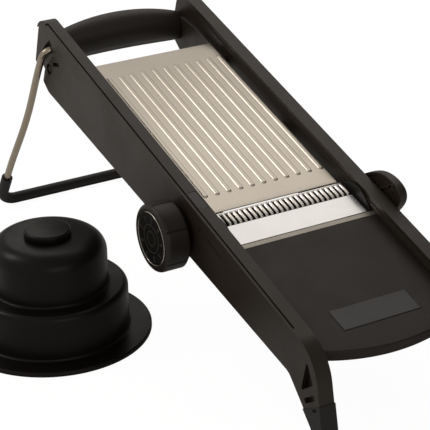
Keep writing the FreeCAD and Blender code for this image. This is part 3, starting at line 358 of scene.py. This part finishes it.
def soften(piece, width, segments=2, angle=35):
    """Round a piece's sharp edges and keep its broad faces flat in the light."""
    bevel = piece.modifiers.new("rounded edges", "BEVEL")
    bevel.width = width
    bevel.segments = segments
    bevel.limit_method = "ANGLE"
    bevel.angle_limit = math.radians(angle)
    bevel.miter_outer = "MITER_ARC"
    weights = piece.modifiers.new("flat faces", "WEIGHTED_NORMAL")
    weights.keep_sharp = True
    weights.weight = 80


def moulding(node, material, body, slot, width, segments=2, angle=35):
    """The CAD node's own shape with its sharp edges rounded, as a moulding has them."""
    shape = bmesh.new()
    shape.from_mesh(NODES[node].data)
    bmesh.ops.remove_doubles(shape, verts=shape.verts, dist=2e-6)
    bmesh.ops.dissolve_limit(shape, angle_limit=math.radians(0.6), verts=shape.verts, edges=shape.edges)
    mesh = bpy.data.meshes.new(node + "_moulded")
    shape.to_mesh(mesh)
    shape.free()
    smooth(mesh, angle)
    piece = keep(node + "_moulded", mesh, material, body, slot, node)
    soften(piece, width, segments, angle)
    return piece


def skin(rings, close_ends=True, wrap=True):
    """A mesh from equal rings of points, joined in order."""
    shape = bmesh.new()
    rows = [[shape.verts.new(point) for point in row] for row in rings]
    count = len(rows[0])
    for low, high in zip(rows, rows[1:]):
        for i in range(count if wrap else count - 1):
            j = (i + 1) % count
            shape.faces.new((low[i], low[j], high[j], high[i]))
    if close_ends:
        shape.faces.new(list(reversed(rows[0])))
        shape.faces.new(rows[-1])
    bmesh.ops.recalc_face_normals(shape, faces=shape.faces)
    mesh = bpy.data.meshes.new("skin")
    shape.to_mesh(mesh)
    shape.free()
    return mesh


def turned(profile, centre, steps=144, closed=False):
    """A mesh turned about a vertical axis from (radius, height) points; a zero radius is a pole."""
    shape = bmesh.new()
    rows = []
    for radius, height in profile:
        if radius < 1e-7:
            rows.append([shape.verts.new(centre + Vector((0, 0, height)))])
            continue
        rows.append([shape.verts.new(centre + Vector((radius * math.cos(a), radius * math.sin(a), height)))
                     for a in (2 * math.pi * k / steps for k in range(steps))])
    following = rows[1:] + rows[:1] if closed else rows[1:]
    for low, high in zip(rows, following):
        for k in range(steps):
            corners = [low[k % len(low)], low[(k + 1) % len(low)], high[(k + 1) % len(high)], high[k % len(high)]]
            shape.faces.new(list(dict.fromkeys(corners)))
    bmesh.ops.recalc_face_normals(shape, faces=shape.faces)
    mesh = bpy.data.meshes.new("turned")
    shape.to_mesh(mesh)
    shape.free()
    return mesh


def rounded(corners, step=8):
    """Points of a profile whose corners (a, b, radius) are rounded by arcs."""
    points = []
    for i, (a, b, radius) in enumerate(corners):
        here = Vector((a, b))
        if radius == 0 or i in (0, len(corners) - 1):
            points.append((a, b))
            continue
        before = (Vector(corners[i - 1][:2]) - here).normalized()
        after = (Vector(corners[i + 1][:2]) - here).normalized()
        half = before.angle(after) / 2
        centre = here + (before + after).normalized() * (radius / math.sin(half))
        start = here + before * (radius / math.tan(half)) - centre
        stop = here + after * (radius / math.tan(half)) - centre
        for k in range(step + 1):
            turn = start.slerp(stop, k / step) * radius
            points.append(tuple(centre + turn))
    return points


# ---------------------------------------------------------------- camera, floor and light
CAMERA_AZIMUTH, CAMERA_ELEVATION, CAMERA_ROLL = math.radians(-29.322), math.radians(24.972), math.radians(-0.972)
CAMERA_DISTANCE = 1.10563
CAMERA_LENS = 140.26
AIM = deck(-4.9 * MM, 0, 0) + Vector((0, 106.2, -37.06)) * MM


def make_camera():
    back = Vector((math.sin(CAMERA_AZIMUTH) * math.cos(CAMERA_ELEVATION),
                   -math.cos(CAMERA_AZIMUTH) * math.cos(CAMERA_ELEVATION), math.sin(CAMERA_ELEVATION)))
    data = bpy.data.cameras.new("camera")
    data.lens = CAMERA_LENS
    data.sensor_width = 36.0
    data.clip_start, data.clip_end = 0.05, 20
    camera = bpy.data.objects.new("camera", data)
    camera.location = AIM + back * CAMERA_DISTANCE
    camera.rotation_mode = "QUATERNION"
    camera.rotation_quaternion = Quaternion(back, CAMERA_ROLL) @ (-back).to_track_quat("-Z", "Y")
    bpy.context.scene.collection.objects.link(camera)
    bpy.context.scene.camera = camera


def make_floor():
    """Pale floor that reads as white but keeps the object's shadow."""
    shape = bmesh.new()
    bmesh.ops.create_grid(shape, x_segments=1, y_segments=1, size=6.0)
    mesh = bpy.data.meshes.new("floor")
    shape.to_mesh(mesh)
    shape.free()
    floor = bpy.data.objects.new("floor", mesh)
    floor.location.z = cad_low.z - 0.0002
    bpy.context.scene.collection.objects.link(floor)
    material, tree, shader = start_material("floor")
    shader.inputs["Base Color"].default_value = (0.86, 0.86, 0.86, 1)
    shader.inputs["Roughness"].default_value = 0.7
    glow = tree.nodes.new("ShaderNodeEmission")
    glow.inputs["Color"].default_value = (1, 1, 1, 1)
    glow.inputs["Strength"].default_value = 1.07
    path = tree.nodes.new("ShaderNodeLightPath")
    mix = tree.nodes.new("ShaderNodeMixShader")
    tree.links.new(math_node(tree, "MULTIPLY", path.outputs["Is Camera Ray"], 0.9), mix.inputs["Fac"])
    tree.links.new(shader.outputs["BSDF"], mix.inputs[1])
    tree.links.new(glow.outputs["Emission"], mix.inputs[2])
    tree.links.new(mix.outputs["Shader"], tree.nodes["Material Output"].inputs["Surface"])
    mesh.materials.append(material)


def make_light(name, place, target, size, power, colour=(1, 1, 1)):
    data = bpy.data.lights.new(name, "AREA")
    data.shape = "RECTANGLE"
    data.size, data.size_y = size
    data.energy = power
    data.color = colour
    lamp = bpy.data.objects.new(name, data)
    lamp.location = place
    lamp.rotation_mode = "QUATERNION"
    lamp.rotation_quaternion = (Vector(target) - Vector(place)).to_track_quat("-Z", "Y")
    bpy.context.scene.collection.objects.link(lamp)


def make_lights():
    middle = (0, 0, 0.08)
    warm = (1, 0.955, 0.90)
    make_light("overhead", (0.75, 0.95, 1.35), middle, (1.6, 1.6), 6.2, warm)
    make_light("left", (-0.95, 0.85, 1.25), middle, (0.6, 0.6), 4.5, warm)
    make_light("front", (-0.2, -1.7, 0.7), middle, (1.0, 0.4), 2, warm)
    world = bpy.data.worlds.new("studio")
    world.use_nodes = True
    bpy.context.scene.world = world
    tree = world.node_tree
    path = tree.nodes.new("ShaderNodeLightPath")
    seen = math_node(tree, "MAXIMUM", path.outputs["Is Camera Ray"], path.outputs["Is Transmission Ray"])
    heading = tree.nodes.new("ShaderNodeSeparateXYZ")
    tree.links.new(tree.nodes.new("ShaderNodeTexCoord").outputs["Generated"], heading.inputs["Vector"])
    room = remap(tree, heading.outputs["X"], -0.8, 0.8, 0.52, 0.14)
    strength = math_node(tree, "MAXIMUM", room, seen)
    background = tree.nodes["Background"]
    tree.links.new(blend_colours(tree, seen, warm, (1, 1, 1)), background.inputs["Color"])
    tree.links.new(strength, background.inputs["Strength"])
    bpy.context.scene.view_settings.view_transform = "Standard"


# ---------------------------------------------------------------- rails, feet, deck
def make_body():
    for side in ("left", "right"):
        moulding(side + "_rail", "rail", "frame", "black_plastic", 0.7 * MM, 3)
        moulding(side + "_foot", "rubber", "frame", "black_rubber", 0.9 * MM, 3)
        moulding(side + "_hinge_bracket", "rail", "frame", "black_plastic", 0.5 * MM)
        for bush in ("axle", "shaft", "stand"):
            dress(NODES[f"{side}_{bush}_bush"], "bush")
    moulding("runout_deck", "deck", "frame", "black_plastic", 0.4 * MM, 2)
    moulding("badge_plate", "badge", "frame", "badge_plastic", 0.25 * MM)
    moulding("thickness_window", "window", "frame", "window_plastic", 0.2 * MM)
    for brace in ("front_brace", "rear_brace"):
        moulding(brace, "under", "frame", "black_plastic", 0.4 * MM)
    moulding("lip_strip", "lip", "frame", "ground_steel", 0.08 * MM)
    dress(NODES["brace_screws"], "turned")
    dress(NODES["handle_core"], "turned")


# ---------------------------------------------------------------- handle
def make_grip():
    """Arched grip, fullest in the middle, with a soft crease along its lower front."""
    low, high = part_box("handle_grip")
    half = (high.x - low.x) / 2
    end_s, end_n = 254.5 * MM, -26.0 * MM
    rings = []
    stations, around = 48, 64
    for i in range(stations + 1):
        x = -half + 2 * half * i / stations
        arch = 1 - (x / half) ** 2
        swell = arch ** 0.8
        middle_s, middle_n = end_s + 3.0 * MM * arch, end_n + 3.5 * MM * arch
        half_s, half_n = (8.0 + 4.0 * swell) * MM, (10.5 + 3.5 * swell) * MM
        ring = []
        for k in range(around):
            angle = 2 * math.pi * k / around
            crease = math.exp(-((math.degrees(angle) - 215) / 9) ** 2) * 0.035 * (0.3 + swell)
            reach = 1 - crease
            ring.append(deck(x, middle_s + half_s * reach * math.cos(angle), middle_n + half_n * reach * math.sin(angle)))
        rings.append(ring)
    mesh = skin(rings)
    smooth(mesh, 60)
    keep("grip", mesh, "grip", "frame", "soft_grip", "handle_grip")


# ---------------------------------------------------------------- ramp
RIB_COUNT, RIB_PITCH, RIB_HALF, RIB_HEIGHT = 11, 8.4 * MM, 1.8 * MM, 0.8 * MM
RIB_FRONT, RIB_REAR = 50.0 * MM, 187.0 * MM
RAMP_FRONT, RAMP_REAR, RAMP_HALF = 35.1 * MM, 202.5 * MM, 44.5 * MM
RAMP_LEVEL, RAMP_SHEET = -8.0 * MM, 0.6 * MM


def rib_height(x, s):
    """Height of the pressed ribs over the sheet at a point of the ramp."""
    offset = x / RIB_PITCH + (RIB_COUNT - 1) / 2
    nearest = min(max(round(offset), 0), RIB_COUNT - 1)
    dx = (offset - nearest) * RIB_PITCH
    inner_front, inner_rear = RIB_FRONT + RIB_HALF, RIB_REAR - RIB_HALF
    ds = max(inner_front - s, 0, s - inner_rear)
    reach = math.hypot(dx, ds) / RIB_HALF
    if reach >= 1:
        return 0.0
    flank = min(1.0, (1 - reach) / 0.50)
    return RIB_HEIGHT * (flank * flank * (3 - 2 * flank))


def make_ramp():
    """Pressed steel sheet: ribs with rounded ends, edges rolled down over the carrier."""
    across = sorted({round(v, 6) for i in range(RIB_COUNT) for v in
                     ((i - (RIB_COUNT - 1) / 2) * RIB_PITCH + RIB_HALF * f
                      for f in (-1.15, -1, -0.85, -0.7, -0.55, -0.4, -0.2, 0, 0.2, 0.4, 0.55, 0.7, 0.85, 1, 1.15))})
    across = [-RAMP_HALF + 0.3 * MM, *across, RAMP_HALF - 0.3 * MM]
    ends = [RIB_FRONT + RIB_HALF * f for f in (-0.1, 0, 0.15, 0.3, 0.45, 0.6, 0.8, 1)]
    along = [RAMP_FRONT + 0.3 * MM, 40 * MM, *ends, 60 * MM, 90 * MM, 120 * MM, 150 * MM, 175 * MM,
             *[RIB_FRONT + RIB_REAR - s for s in reversed(ends)], 193 * MM, RAMP_REAR - 0.3 * MM]
    shape = bmesh.new()
    rows = [[shape.verts.new(deck(x, s, RAMP_LEVEL + rib_height(x, s))) for x in across] for s in along]
    for low, high in zip(rows, rows[1:]):
        for i in range(len(across) - 1):
            shape.faces.new((low[i], low[i + 1], high[i + 1], high[i]))
    border = ([(v, (across[i], along[0])) for i, v in enumerate(rows[0])]
              + [(row[-1], (across[-1], s)) for row, s in zip(rows[1:], along[1:])]
              + [(rows[-1][i], (across[i], along[-1])) for i in range(len(across) - 2, -1, -1)]
              + [(rows[j][0], (across[0], along[j])) for j in range(len(along) - 2, 0, -1)])
    ring = [v for v, _ in border]
    for grow, drop in ((0.15 * MM, 0.05 * MM), (0.3 * MM, 0.25 * MM), (0.3 * MM, RAMP_SHEET)):
        outer = []
        for _, (x, s) in border:
            gx = grow if x >= across[-1] - 1e-7 else -grow if x <= across[0] + 1e-7 else 0
            gs = grow if s >= along[-1] - 1e-7 else -grow if s <= along[0] + 1e-7 else 0
            outer.append(shape.verts.new(deck(x + gx, s + gs, RAMP_LEVEL - drop)))
        for i in range(len(ring)):
            j = (i + 1) % len(ring)
            shape.faces.new((ring[i], outer[i], outer[j], ring[j]))
        ring = outer
    shape.faces.new(ring)
    bmesh.ops.recalc_face_normals(shape, faces=shape.faces)
    mesh = bpy.data.meshes.new("ramp")
    shape.to_mesh(mesh)
    shape.free()
    smooth(mesh, 40)
    keep("ramp_sheet", mesh, "ramp", "ramp", "ramp_steel", "ramp_plate")
    moulding("ramp_carrier", "under", "ramp", "black_plastic", 0.4 * MM)
    dress(NODES["ramp_pin"], "turned")


# ---------------------------------------------------------------- drum and blades
def make_drum():
    moulding("drum_frame", "under", "drum", "black_plastic", 0.35 * MM)
    for blade in ("fine_blade", "straight_blade", "wide_blade", "wavy_blade"):
        moulding(blade, "blade", "drum", "blade_steel", 0.06 * MM, 1)
    for name, pitch, quarter in (("fine", 3.7 * MM, 0), ("wide", 7.4 * MM, 2)):
        make_comb(name, pitch, quarter)
    make_lever()
    for node in ("left_axle", "right_axle", "drum_screws"):
        dress(NODES[node], "turned")


DRUM_HALF = 15.5 * MM
BLADE_HALF = 46.2 * MM
BLADE_EDGE = 18.0 * MM                     # from the heel of a blade to its cutting edge
TOOTH_ROOT = 2.6 * MM


def make_comb(name, pitch, quarter):
    """A row of chamfered teeth behind a blade's edge, each with a sharpened front and a rounded back."""
    top = DRUM_AXIS[1] + DRUM_HALF
    near, far = DRUM_AXIS[0] - DRUM_HALF + BLADE_EDGE + 0.4 * MM, DRUM_AXIS[0] + DRUM_HALF - 1.3 * MM
    count = int(2 * BLADE_HALF / pitch + 0.5)
    turn = (Matrix.Translation(DRUM_AT) @ Matrix.Rotation(math.radians(-90 * quarter), 4, "X")
            @ Matrix.Translation(-DRUM_AT))
    shape = bmesh.new()

    def solid(sections):
        rows = [[shape.verts.new(turn @ deck(*point)) for point in section] for section in sections]
        size = len(rows[0])
        for low, high in zip(rows, rows[1:]):
            for i in range(size):
                shape.faces.new((low[i], low[(i + 1) % size], high[(i + 1) % size], high[i]))
        shape.faces.new(rows[0][::-1])
        shape.faces.new(rows[-1])

    for i in range(count):
        x = (i - (count - 1) / 2) * pitch
        sections = []
        for s, half, rise in ((near, 0.6, -0.2), (near + 0.4 * MM, 0.9, 0.4), (near + 1.1 * MM, 1.0, 0.8),
                              (far - 2.4 * MM, 1.0, 0.8), (far - 0.5 * MM, 0.95, 0.8), (far, 0.8, 0.6)):
            wide, high = half * MM, top + rise * MM
            flank = max(wide - 0.4 * MM, 0.15 * MM)
            sections.append([(x - wide, s, top - TOOTH_ROOT), (x - wide, s, high - 0.45 * MM), (x - flank, s, high),
                             (x + flank, s, high), (x + wide, s, high - 0.45 * MM), (x + wide, s, top - TOOTH_ROOT)])
        solid(sections)
    base_near, base_far = far - 4 * MM, far
    solid([[(x, base_near, top - TOOTH_ROOT - 0.9 * MM), (x, base_near, top - TOOTH_ROOT + 0.2 * MM),
            (x, base_far, top - TOOTH_ROOT + 0.2 * MM), (x, base_far, top - TOOTH_ROOT - 0.9 * MM)]
           for x in (-BLADE_HALF, BLADE_HALF)])
    bmesh.ops.recalc_face_normals(shape, faces=shape.faces)
    mesh = bpy.data.meshes.new(name + "_comb")
    shape.to_mesh(mesh)
    shape.free()
    smooth(mesh, 30)
    keep(name + "_comb", mesh, "teeth", "drum", "blade_steel", name + "_teeth")


# corners (s, n) that the lever's egg-shaped edge is drawn through, in mm
LEVER_CORNERS = [(46, -20), (29, 0.5), (14, 9.8), (-2, 10.4), (-8, 3.4), (-3.4, -9), (12, -36),
                 (24, -45), (42, -38)]
LEVER_RIM, LEVER_SUNK = 1.6 * MM, 0.7 * MM
LEVER_THICK, LEVER_ROUND = 6.0 * MM, 1.6 * MM
BAR_LENGTH, BAR_WIDTH, BAR_RISE, BAR_TURN = 30.0 * MM, 8.0 * MM, 5.0 * MM, math.radians(122)
HUB_WIDTH = 16.0 * MM


def egg(steps=10):
    """Smooth closed line through the middles of the corner polygon's sides."""
    points, count = [], len(LEVER_CORNERS)
    for i in range(count):
        corner = Vector(LEVER_CORNERS[i])
        start = (Vector(LEVER_CORNERS[i - 1]) + corner) / 2
        stop = (corner + Vector(LEVER_CORNERS[(i + 1) % count])) / 2
        for k in range(steps):
            a = k / steps
            points.append((start * (1 - a) ** 2 + corner * 2 * a * (1 - a) + stop * a * a) * MM)
    return points


def drawn_in(points, amount):
    """The closed line moved inwards by an amount."""
    count = len(points)
    area = sum(points[i - 1].cross(points[i]) for i in range(count))
    result = []
    for i in range(count):
        along = (points[(i + 1) % count] - points[i - 1]).normalized()
        inward = Vector((-along.y, along.x)) * (1 if area > 0 else -1)
        result.append(points[i] + inward * amount)
    return result


def make_lever():
    """Selector lever: thin egg with a rounded outer edge, a sunk back with a web, and a grip bar."""
    low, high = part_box("selector_lever")
    edge = egg()
    back = high.x - BAR_RISE - LEVER_THICK
    front = back + LEVER_THICK
    levels = [(back + LEVER_SUNK, LEVER_RIM + 0.2 * MM), (back + 0.1 * MM, LEVER_RIM), (back, LEVER_RIM - 0.1 * MM),
              (back, 0.3 * MM), (back + 0.3 * MM, 0.0)]
    levels += [(front - LEVER_ROUND * (1 - math.sin(a)), LEVER_ROUND * (1 - math.cos(a)))
               for a in (math.radians(15 * k) for k in range(7))]
    rings = [[Vector((x, *point)) for point in drawn_in(edge, inset)] for x, inset in levels]
    mesh = skin([[deck(point.x - DECK_ORIGIN.x, point.y, point.z) for point in ring] for ring in rings])
    shape = bmesh.new()
    shape.from_mesh(mesh)

    def bar(x0, x1, centre, length, width, turn, lip):
        """Rounded bar on the lever's face; lip is how far its outer face is drawn in."""
        along = Vector((math.cos(turn), math.sin(turn)))
        side = Vector((-along.y, along.x))
        stages = []
        for x, inset in ((x0, 0), (x1 - lip, 0), (x1 - lip * 0.3, abs(lip) * 0.3), (x1, abs(lip))):
            ring = []
            for k in range(32):
                a = 2 * math.pi * k / 32
                reach = Vector((math.cos(a), math.sin(a)))
                spot = (centre + along * (math.copysign(length / 2 - width / 2, reach.x) + reach.x * (width / 2 - inset))
                        + side * reach.y * (width / 2 - inset))
                ring.append(shape.verts.new(deck(x - DECK_ORIGIN.x, spot.x, spot.y)))
            stages.append(ring)
        for first, second in zip(stages, stages[1:]):
            for k in range(32):
                j = (k + 1) % 32
                shape.faces.new((first[k], first[j], second[j], second[k]))
        shape.faces.new(stages[0][::-1])
        shape.faces.new(stages[-1])

    axis = Vector(DRUM_AXIS)
    bar(front - 0.5 * MM, high.x, axis, BAR_LENGTH, BAR_WIDTH, BAR_TURN, 2.0 * MM)
    bar(back + 1.2 * MM, low.x, axis, HUB_WIDTH, HUB_WIDTH, 0, -0.3 * MM)
    start, stop = Vector((18, -6)) * MM, Vector((2.5, 8.2)) * MM
    bar(back + 1.2 * MM, back + 0.15 * MM, (start + stop) / 2, (stop - start).length, 1.6 * MM,
        math.atan2(stop.y - start.y, stop.x - start.x), -0.2 * MM)
    bar(back + 1.2 * MM, back + 0.15 * MM, Vector((4.5, 4.2)) * MM, 6.0 * MM, 3.4 * MM,
        math.radians(48), -0.2 * MM)
    bmesh.ops.recalc_face_normals(shape, faces=shape.faces)
    shape.to_mesh(mesh)
    shape.free()
    smooth(mesh, 35)
    keep("lever", mesh, "rail", "drum", "knob_plastic", "selector_lever")



# ---------------------------------------------------------------- thickness dial
def turned_across(profile, centre, steps=128):
    """Closed ring turned about an axis across the body; profile holds (x, radius)."""
    shape = bmesh.new()
    rings = [[shape.verts.new((x, centre.y + radius * math.cos(2 * math.pi * k / steps),
                               centre.z + radius * math.sin(2 * math.pi * k / steps))) for k in range(steps)]
             for x, radius in profile]
    for first, second in zip(rings, rings[1:] + rings[:1]):
        for k in range(steps):
            j = (k + 1) % steps
            shape.faces.new((first[k], first[j], second[j], second[k]))
    bmesh.ops.recalc_face_normals(shape, faces=shape.faces)
    mesh = bpy.data.meshes.new("ring")
    shape.to_mesh(mesh)
    shape.free()
    smooth(mesh, 35)
    return mesh


# strokes of the plain figures 1 to 8, on a grid two wide and four high
FIGURES = {1: [(1, 0, 1, 4)], 2: [(0, 4, 2, 4), (2, 4, 2, 2), (2, 2, 0, 2), (0, 2, 0, 0), (0, 0, 2, 0)],
           3: [(0, 4, 2, 4), (0, 2, 2, 2), (0, 0, 2, 0), (2, 0, 2, 4)], 4: [(0, 4, 0, 2), (0, 2, 2, 2), (2, 4, 2, 0)],
           5: [(2, 4, 0, 4), (0, 4, 0, 2), (0, 2, 2, 2), (2, 2, 2, 0), (2, 0, 0, 0)],
           6: [(2, 4, 0, 4), (0, 4, 0, 0), (0, 0, 2, 0), (2, 0, 2, 2), (2, 2, 0, 2)], 7: [(0, 4, 2, 4), (2, 4, 1, 0)],
           8: [(0, 0, 2, 0), (2, 0, 2, 4), (2, 4, 0, 4), (0, 4, 0, 0), (0, 2, 2, 2)]}
FIGURE_GRID, FIGURE_STROKE, MARK_RISE = 0.75 * MM, 0.36 * MM, 0.18 * MM


def make_dial_plate():
    """Dial plate with two raised rings, a pointer line and the figures 1 to 8 around it."""
    low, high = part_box("dial_face")
    front, radius = low.x, (high.z - low.z) / 2
    shape = bmesh.new()

    def spot(across, up, rise):
        """A point of the plate seen from its front: across to the right, up the deck's normal."""
        return Vector((front - rise, 0, 0)) + Vector((0, SHAFT_AT.y, SHAFT_AT.z)) - UP_DECK * across + OFF_DECK * up

    def slab(outline, base, rise, material):
        lower = [shape.verts.new(spot(a, b, base)) for a, b in outline]
        upper = [shape.verts.new(spot(a, b, rise)) for a, b in outline]
        size = len(outline)
        faces = [shape.faces.new((lower[i], lower[(i + 1) % size], upper[(i + 1) % size], upper[i])) for i in range(size)]
        for face in (*faces, shape.faces.new(upper), shape.faces.new(lower[::-1])):
            face.material_index = material

    def circle(reach, steps=96):
        return [(reach * math.cos(2 * math.pi * k / steps), reach * math.sin(2 * math.pi * k / steps)) for k in range(steps)]

    def band(inner, outer, rise):
        inside, outside = circle(inner), circle(outer)
        for k in range(len(inside)):
            j = (k + 1) % len(inside)
            slab([inside[k], outside[k], outside[j], inside[j]], 0, rise, 1)

    def stroke(x0, y0, x1, y1, width):
        length = math.hypot(x1 - x0, y1 - y0)
        along = Vector(((x1 - x0) / length, (y1 - y0) / length)) * (width / 2)
        side = Vector((-along.y, along.x))
        start, stop = Vector((x0, y0)) - along, Vector((x1, y1)) + along
        slab([tuple(start + side), tuple(stop + side), tuple(stop - side), tuple(start - side)], 0, MARK_RISE, 1)

    slab(circle(radius), -1.1 * MM, 0, 0)
    band(9.0 * MM, 9.3 * MM, MARK_RISE)
    band(4.6 * MM, 4.9 * MM, MARK_RISE)
    stroke(-radius * 0.92, 0, -9.6 * MM, 0, 0.3 * MM)
    for figure, strokes in FIGURES.items():
        turn = math.radians(180 - 40 * figure)
        for x0, y0, x1, y1 in strokes:
            ends = []
            for x, y in ((x0, y0), (x1, y1)):
                across, up = (x - 1) * FIGURE_GRID, 11.4 * MM + y * FIGURE_GRID
                ends += [across * math.sin(turn) + up * math.cos(turn), -across * math.cos(turn) + up * math.sin(turn)]
            stroke(*ends, FIGURE_STROKE)
    bmesh.ops.recalc_face_normals(shape, faces=shape.faces)
    mesh = bpy.data.meshes.new("dial_plate")
    shape.to_mesh(mesh)
    shape.free()
    printed = [face.material_index for face in mesh.polygons]
    piece = keep("dial_plate", mesh, "dial", "dial", "dial_plastic", "dial_face")
    piece.data.materials.append(MATERIALS["print"])
    for face, index in zip(piece.data.polygons, printed):
        face.material_index = index


def make_dial():
    moulding("thickness_knob", "knob", "dial", "knob_plastic", 0.5 * MM, 2)
    make_dial_plate()
    low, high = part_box("dial_ring")
    face, radius = low.x, (high.z - low.z) / 2
    centre = Vector((0, SHAFT_AT.y, SHAFT_AT.z))
    profile = [(face + depth * MM, radius - inset * MM) for depth, inset in
               ((0.9, 0.0), (0.5, 0.06), (0.0, 0.62), (0.0, 0.74), (0.1, 0.84), (0.9, 0.9))]
    keep("dial_ring", turned_across(profile, centre), "bright", "dial", "dial_chrome", "dial_ring")
    dress(NODES["thickness_shaft"], "turned")
    for node in ("left_cam", "right_cam"):
        moulding(node, "under", "dial", "black_plastic", 0.3 * MM)


# ---------------------------------------------------------------- stand
def tube(path, radius, sides=28):
    """Round tube along a list of points, its ends closed."""
    rings = []
    normal = (path[1] - path[0]).orthogonal().normalized()
    for i, point in enumerate(path):
        before = path[max(i - 1, 0)]
        after = path[min(i + 1, len(path) - 1)]
        heading = (after - before).normalized()
        normal = (normal - heading * normal.dot(heading)).normalized()
        side = heading.cross(normal)
        rings.append([point + (normal * math.cos(a) + side * math.sin(a)) * radius
                      for a in (2 * math.pi * k / sides for k in range(sides))])
    return skin(rings)


def bent_path(corners, step=12):
    """Points of a bent wire: straight runs joined by arcs at corners (point, bend radius)."""
    points = [corners[0][0]]
    for i in range(1, len(corners) - 1):
        here, bend = corners[i]
        before = (corners[i - 1][0] - here).normalized()
        after = (corners[i + 1][0] - here).normalized()
        half = before.angle(after) / 2
        centre = here + (before + after).normalized() * (bend / math.sin(half))
        start = here + before * (bend / math.tan(half)) - centre
        stop = here + after * (bend / math.tan(half)) - centre
        points += [centre + start.slerp(stop, k / step) * bend for k in range(step + 1)]
    points.append(corners[-1][0])
    return points


WIRE_RADIUS, WIRE_BEND, STAND_CORNER = 2.5 * MM, 7.0 * MM, 12.0 * MM
WIRE_BOW = 2.2 * MM                        # how far the long legs are sprung inwards
STAND_TOP_HALF, STAND_HALF = 64.2 * MM, 71.85 * MM
SLEEVE_RADIUS, SLEEVE_UP = 4.15 * MM, 28.0 * MM


def bowed(path, middle, low, high):
    """The path with its legs split up and sprung towards the middle plane between two heights."""
    split = []
    for start, stop in zip(path, path[1:]):
        parts = 24 if abs(start.z - stop.z) > 0.05 else 1
        split += [start.lerp(stop, k / parts) for k in range(parts)]
    split.append(path[-1])
    for point in split:
        reach = min(max((point.z - low) / (high - low), 0), 1)
        point.x += math.copysign(WIRE_BOW * math.sin(math.pi * reach) ** 2, middle - point.x)
    return split


def make_stand():
    low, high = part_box("stand_sleeve")
    middle = deck(0, 0, 0).x
    bar = Vector((0, high.y - SLEEVE_RADIUS, SLEEVE_RADIUS))

    def at(x, point):
        return Vector((middle + x, point.y, point.z))
    inner = 50.85 * MM
    corners = [(at(-inner, PIVOT_AT), 0), (at(-STAND_TOP_HALF, PIVOT_AT), WIRE_BEND),
               (at(-STAND_HALF, bar), STAND_CORNER), (at(STAND_HALF, bar), STAND_CORNER),
               (at(STAND_TOP_HALF, PIVOT_AT), WIRE_BEND), (at(inner, PIVOT_AT), 0)]
    wire = tube(bowed(bent_path(corners), middle, bar.z + SLEEVE_UP, PIVOT_AT.z - WIRE_BEND), WIRE_RADIUS)
    smooth(wire, 60)
    keep("stand_bent_wire", wire, "wire", "stand", "wire_steel", "stand_wire")
    up = (corners[1][0] - corners[2][0]).normalized()
    end = corners[2][0] + up * SLEEVE_UP
    other = Vector((2 * middle - end.x, end.y, end.z))
    sleeve = tube(bent_path([(end, 0), *corners[2:4], (other, 0)]), SLEEVE_RADIUS)
    smooth(sleeve, 60)
    keep("stand_rubber_sleeve", sleeve, "rubber", "stand", "black_rubber", "stand_sleeve")


# ---------------------------------------------------------------- food holder
def make_holder():
    low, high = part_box("holder_shell")
    centre = Vector(((low.x + high.x) / 2, (low.y + high.y) / 2, 0))
    brim, top = (high.x - low.x) / 2, high.z
    tier, tier_top, dome, wall = 49.9 * MM, 33.6 * MM, 37.4 * MM, 2.6 * MM
    bore = 4.05 * MM
    outside = [(tier - wall, low.z, 0), (brim, low.z, 0.6 * MM), (brim, 3 * MM, 1.2 * MM), (tier, 3 * MM, 1.6 * MM),
               (tier, tier_top, 4 * MM), (dome, tier_top, 1.6 * MM), (dome, top, 12 * MM), (bore, top, 0)]
    inside = [(bore, top - 14 * MM, 0), (8 * MM, top - 14 * MM, 0), (8 * MM, top - wall, 0),
              (dome - wall, top - wall, 9.4 * MM), (dome - wall, tier_top - wall, 0),
              (tier - wall, tier_top - wall, 1.4 * MM)]
    profile = rounded(outside, 14) + rounded([*inside, (tier - wall, low.z, 0)], 6)[:-1]
    shell = turned(profile, centre, closed=True)
    smooth(shell, 50)
    keep("holder_hat", shell, "holder", "holder", "gloss_black", "holder_shell")
    low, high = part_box("plunger_cap")
    cap_radius = (high.x - low.x) / 2
    cap = turned(rounded([(0, low.z, 0), (cap_radius, low.z, 0.5 * MM), (cap_radius, high.z, 1.6 * MM),
                          (0, high.z, 0)], 8), centre, 96)
    smooth(cap, 50)
    keep("plunger_button", cap, "holder", "plunger", "gloss_black", "plunger_cap")
    dress(NODES["plunger_rod"], "holder")
    dress(NODES["press_plate"], "holder")
    dress(NODES["prongs"], "turned")


make_camera()
make_floor()
make_lights()
make_body()
make_grip()
make_ramp()
make_drum()
make_dial()
make_stand()
make_holder()
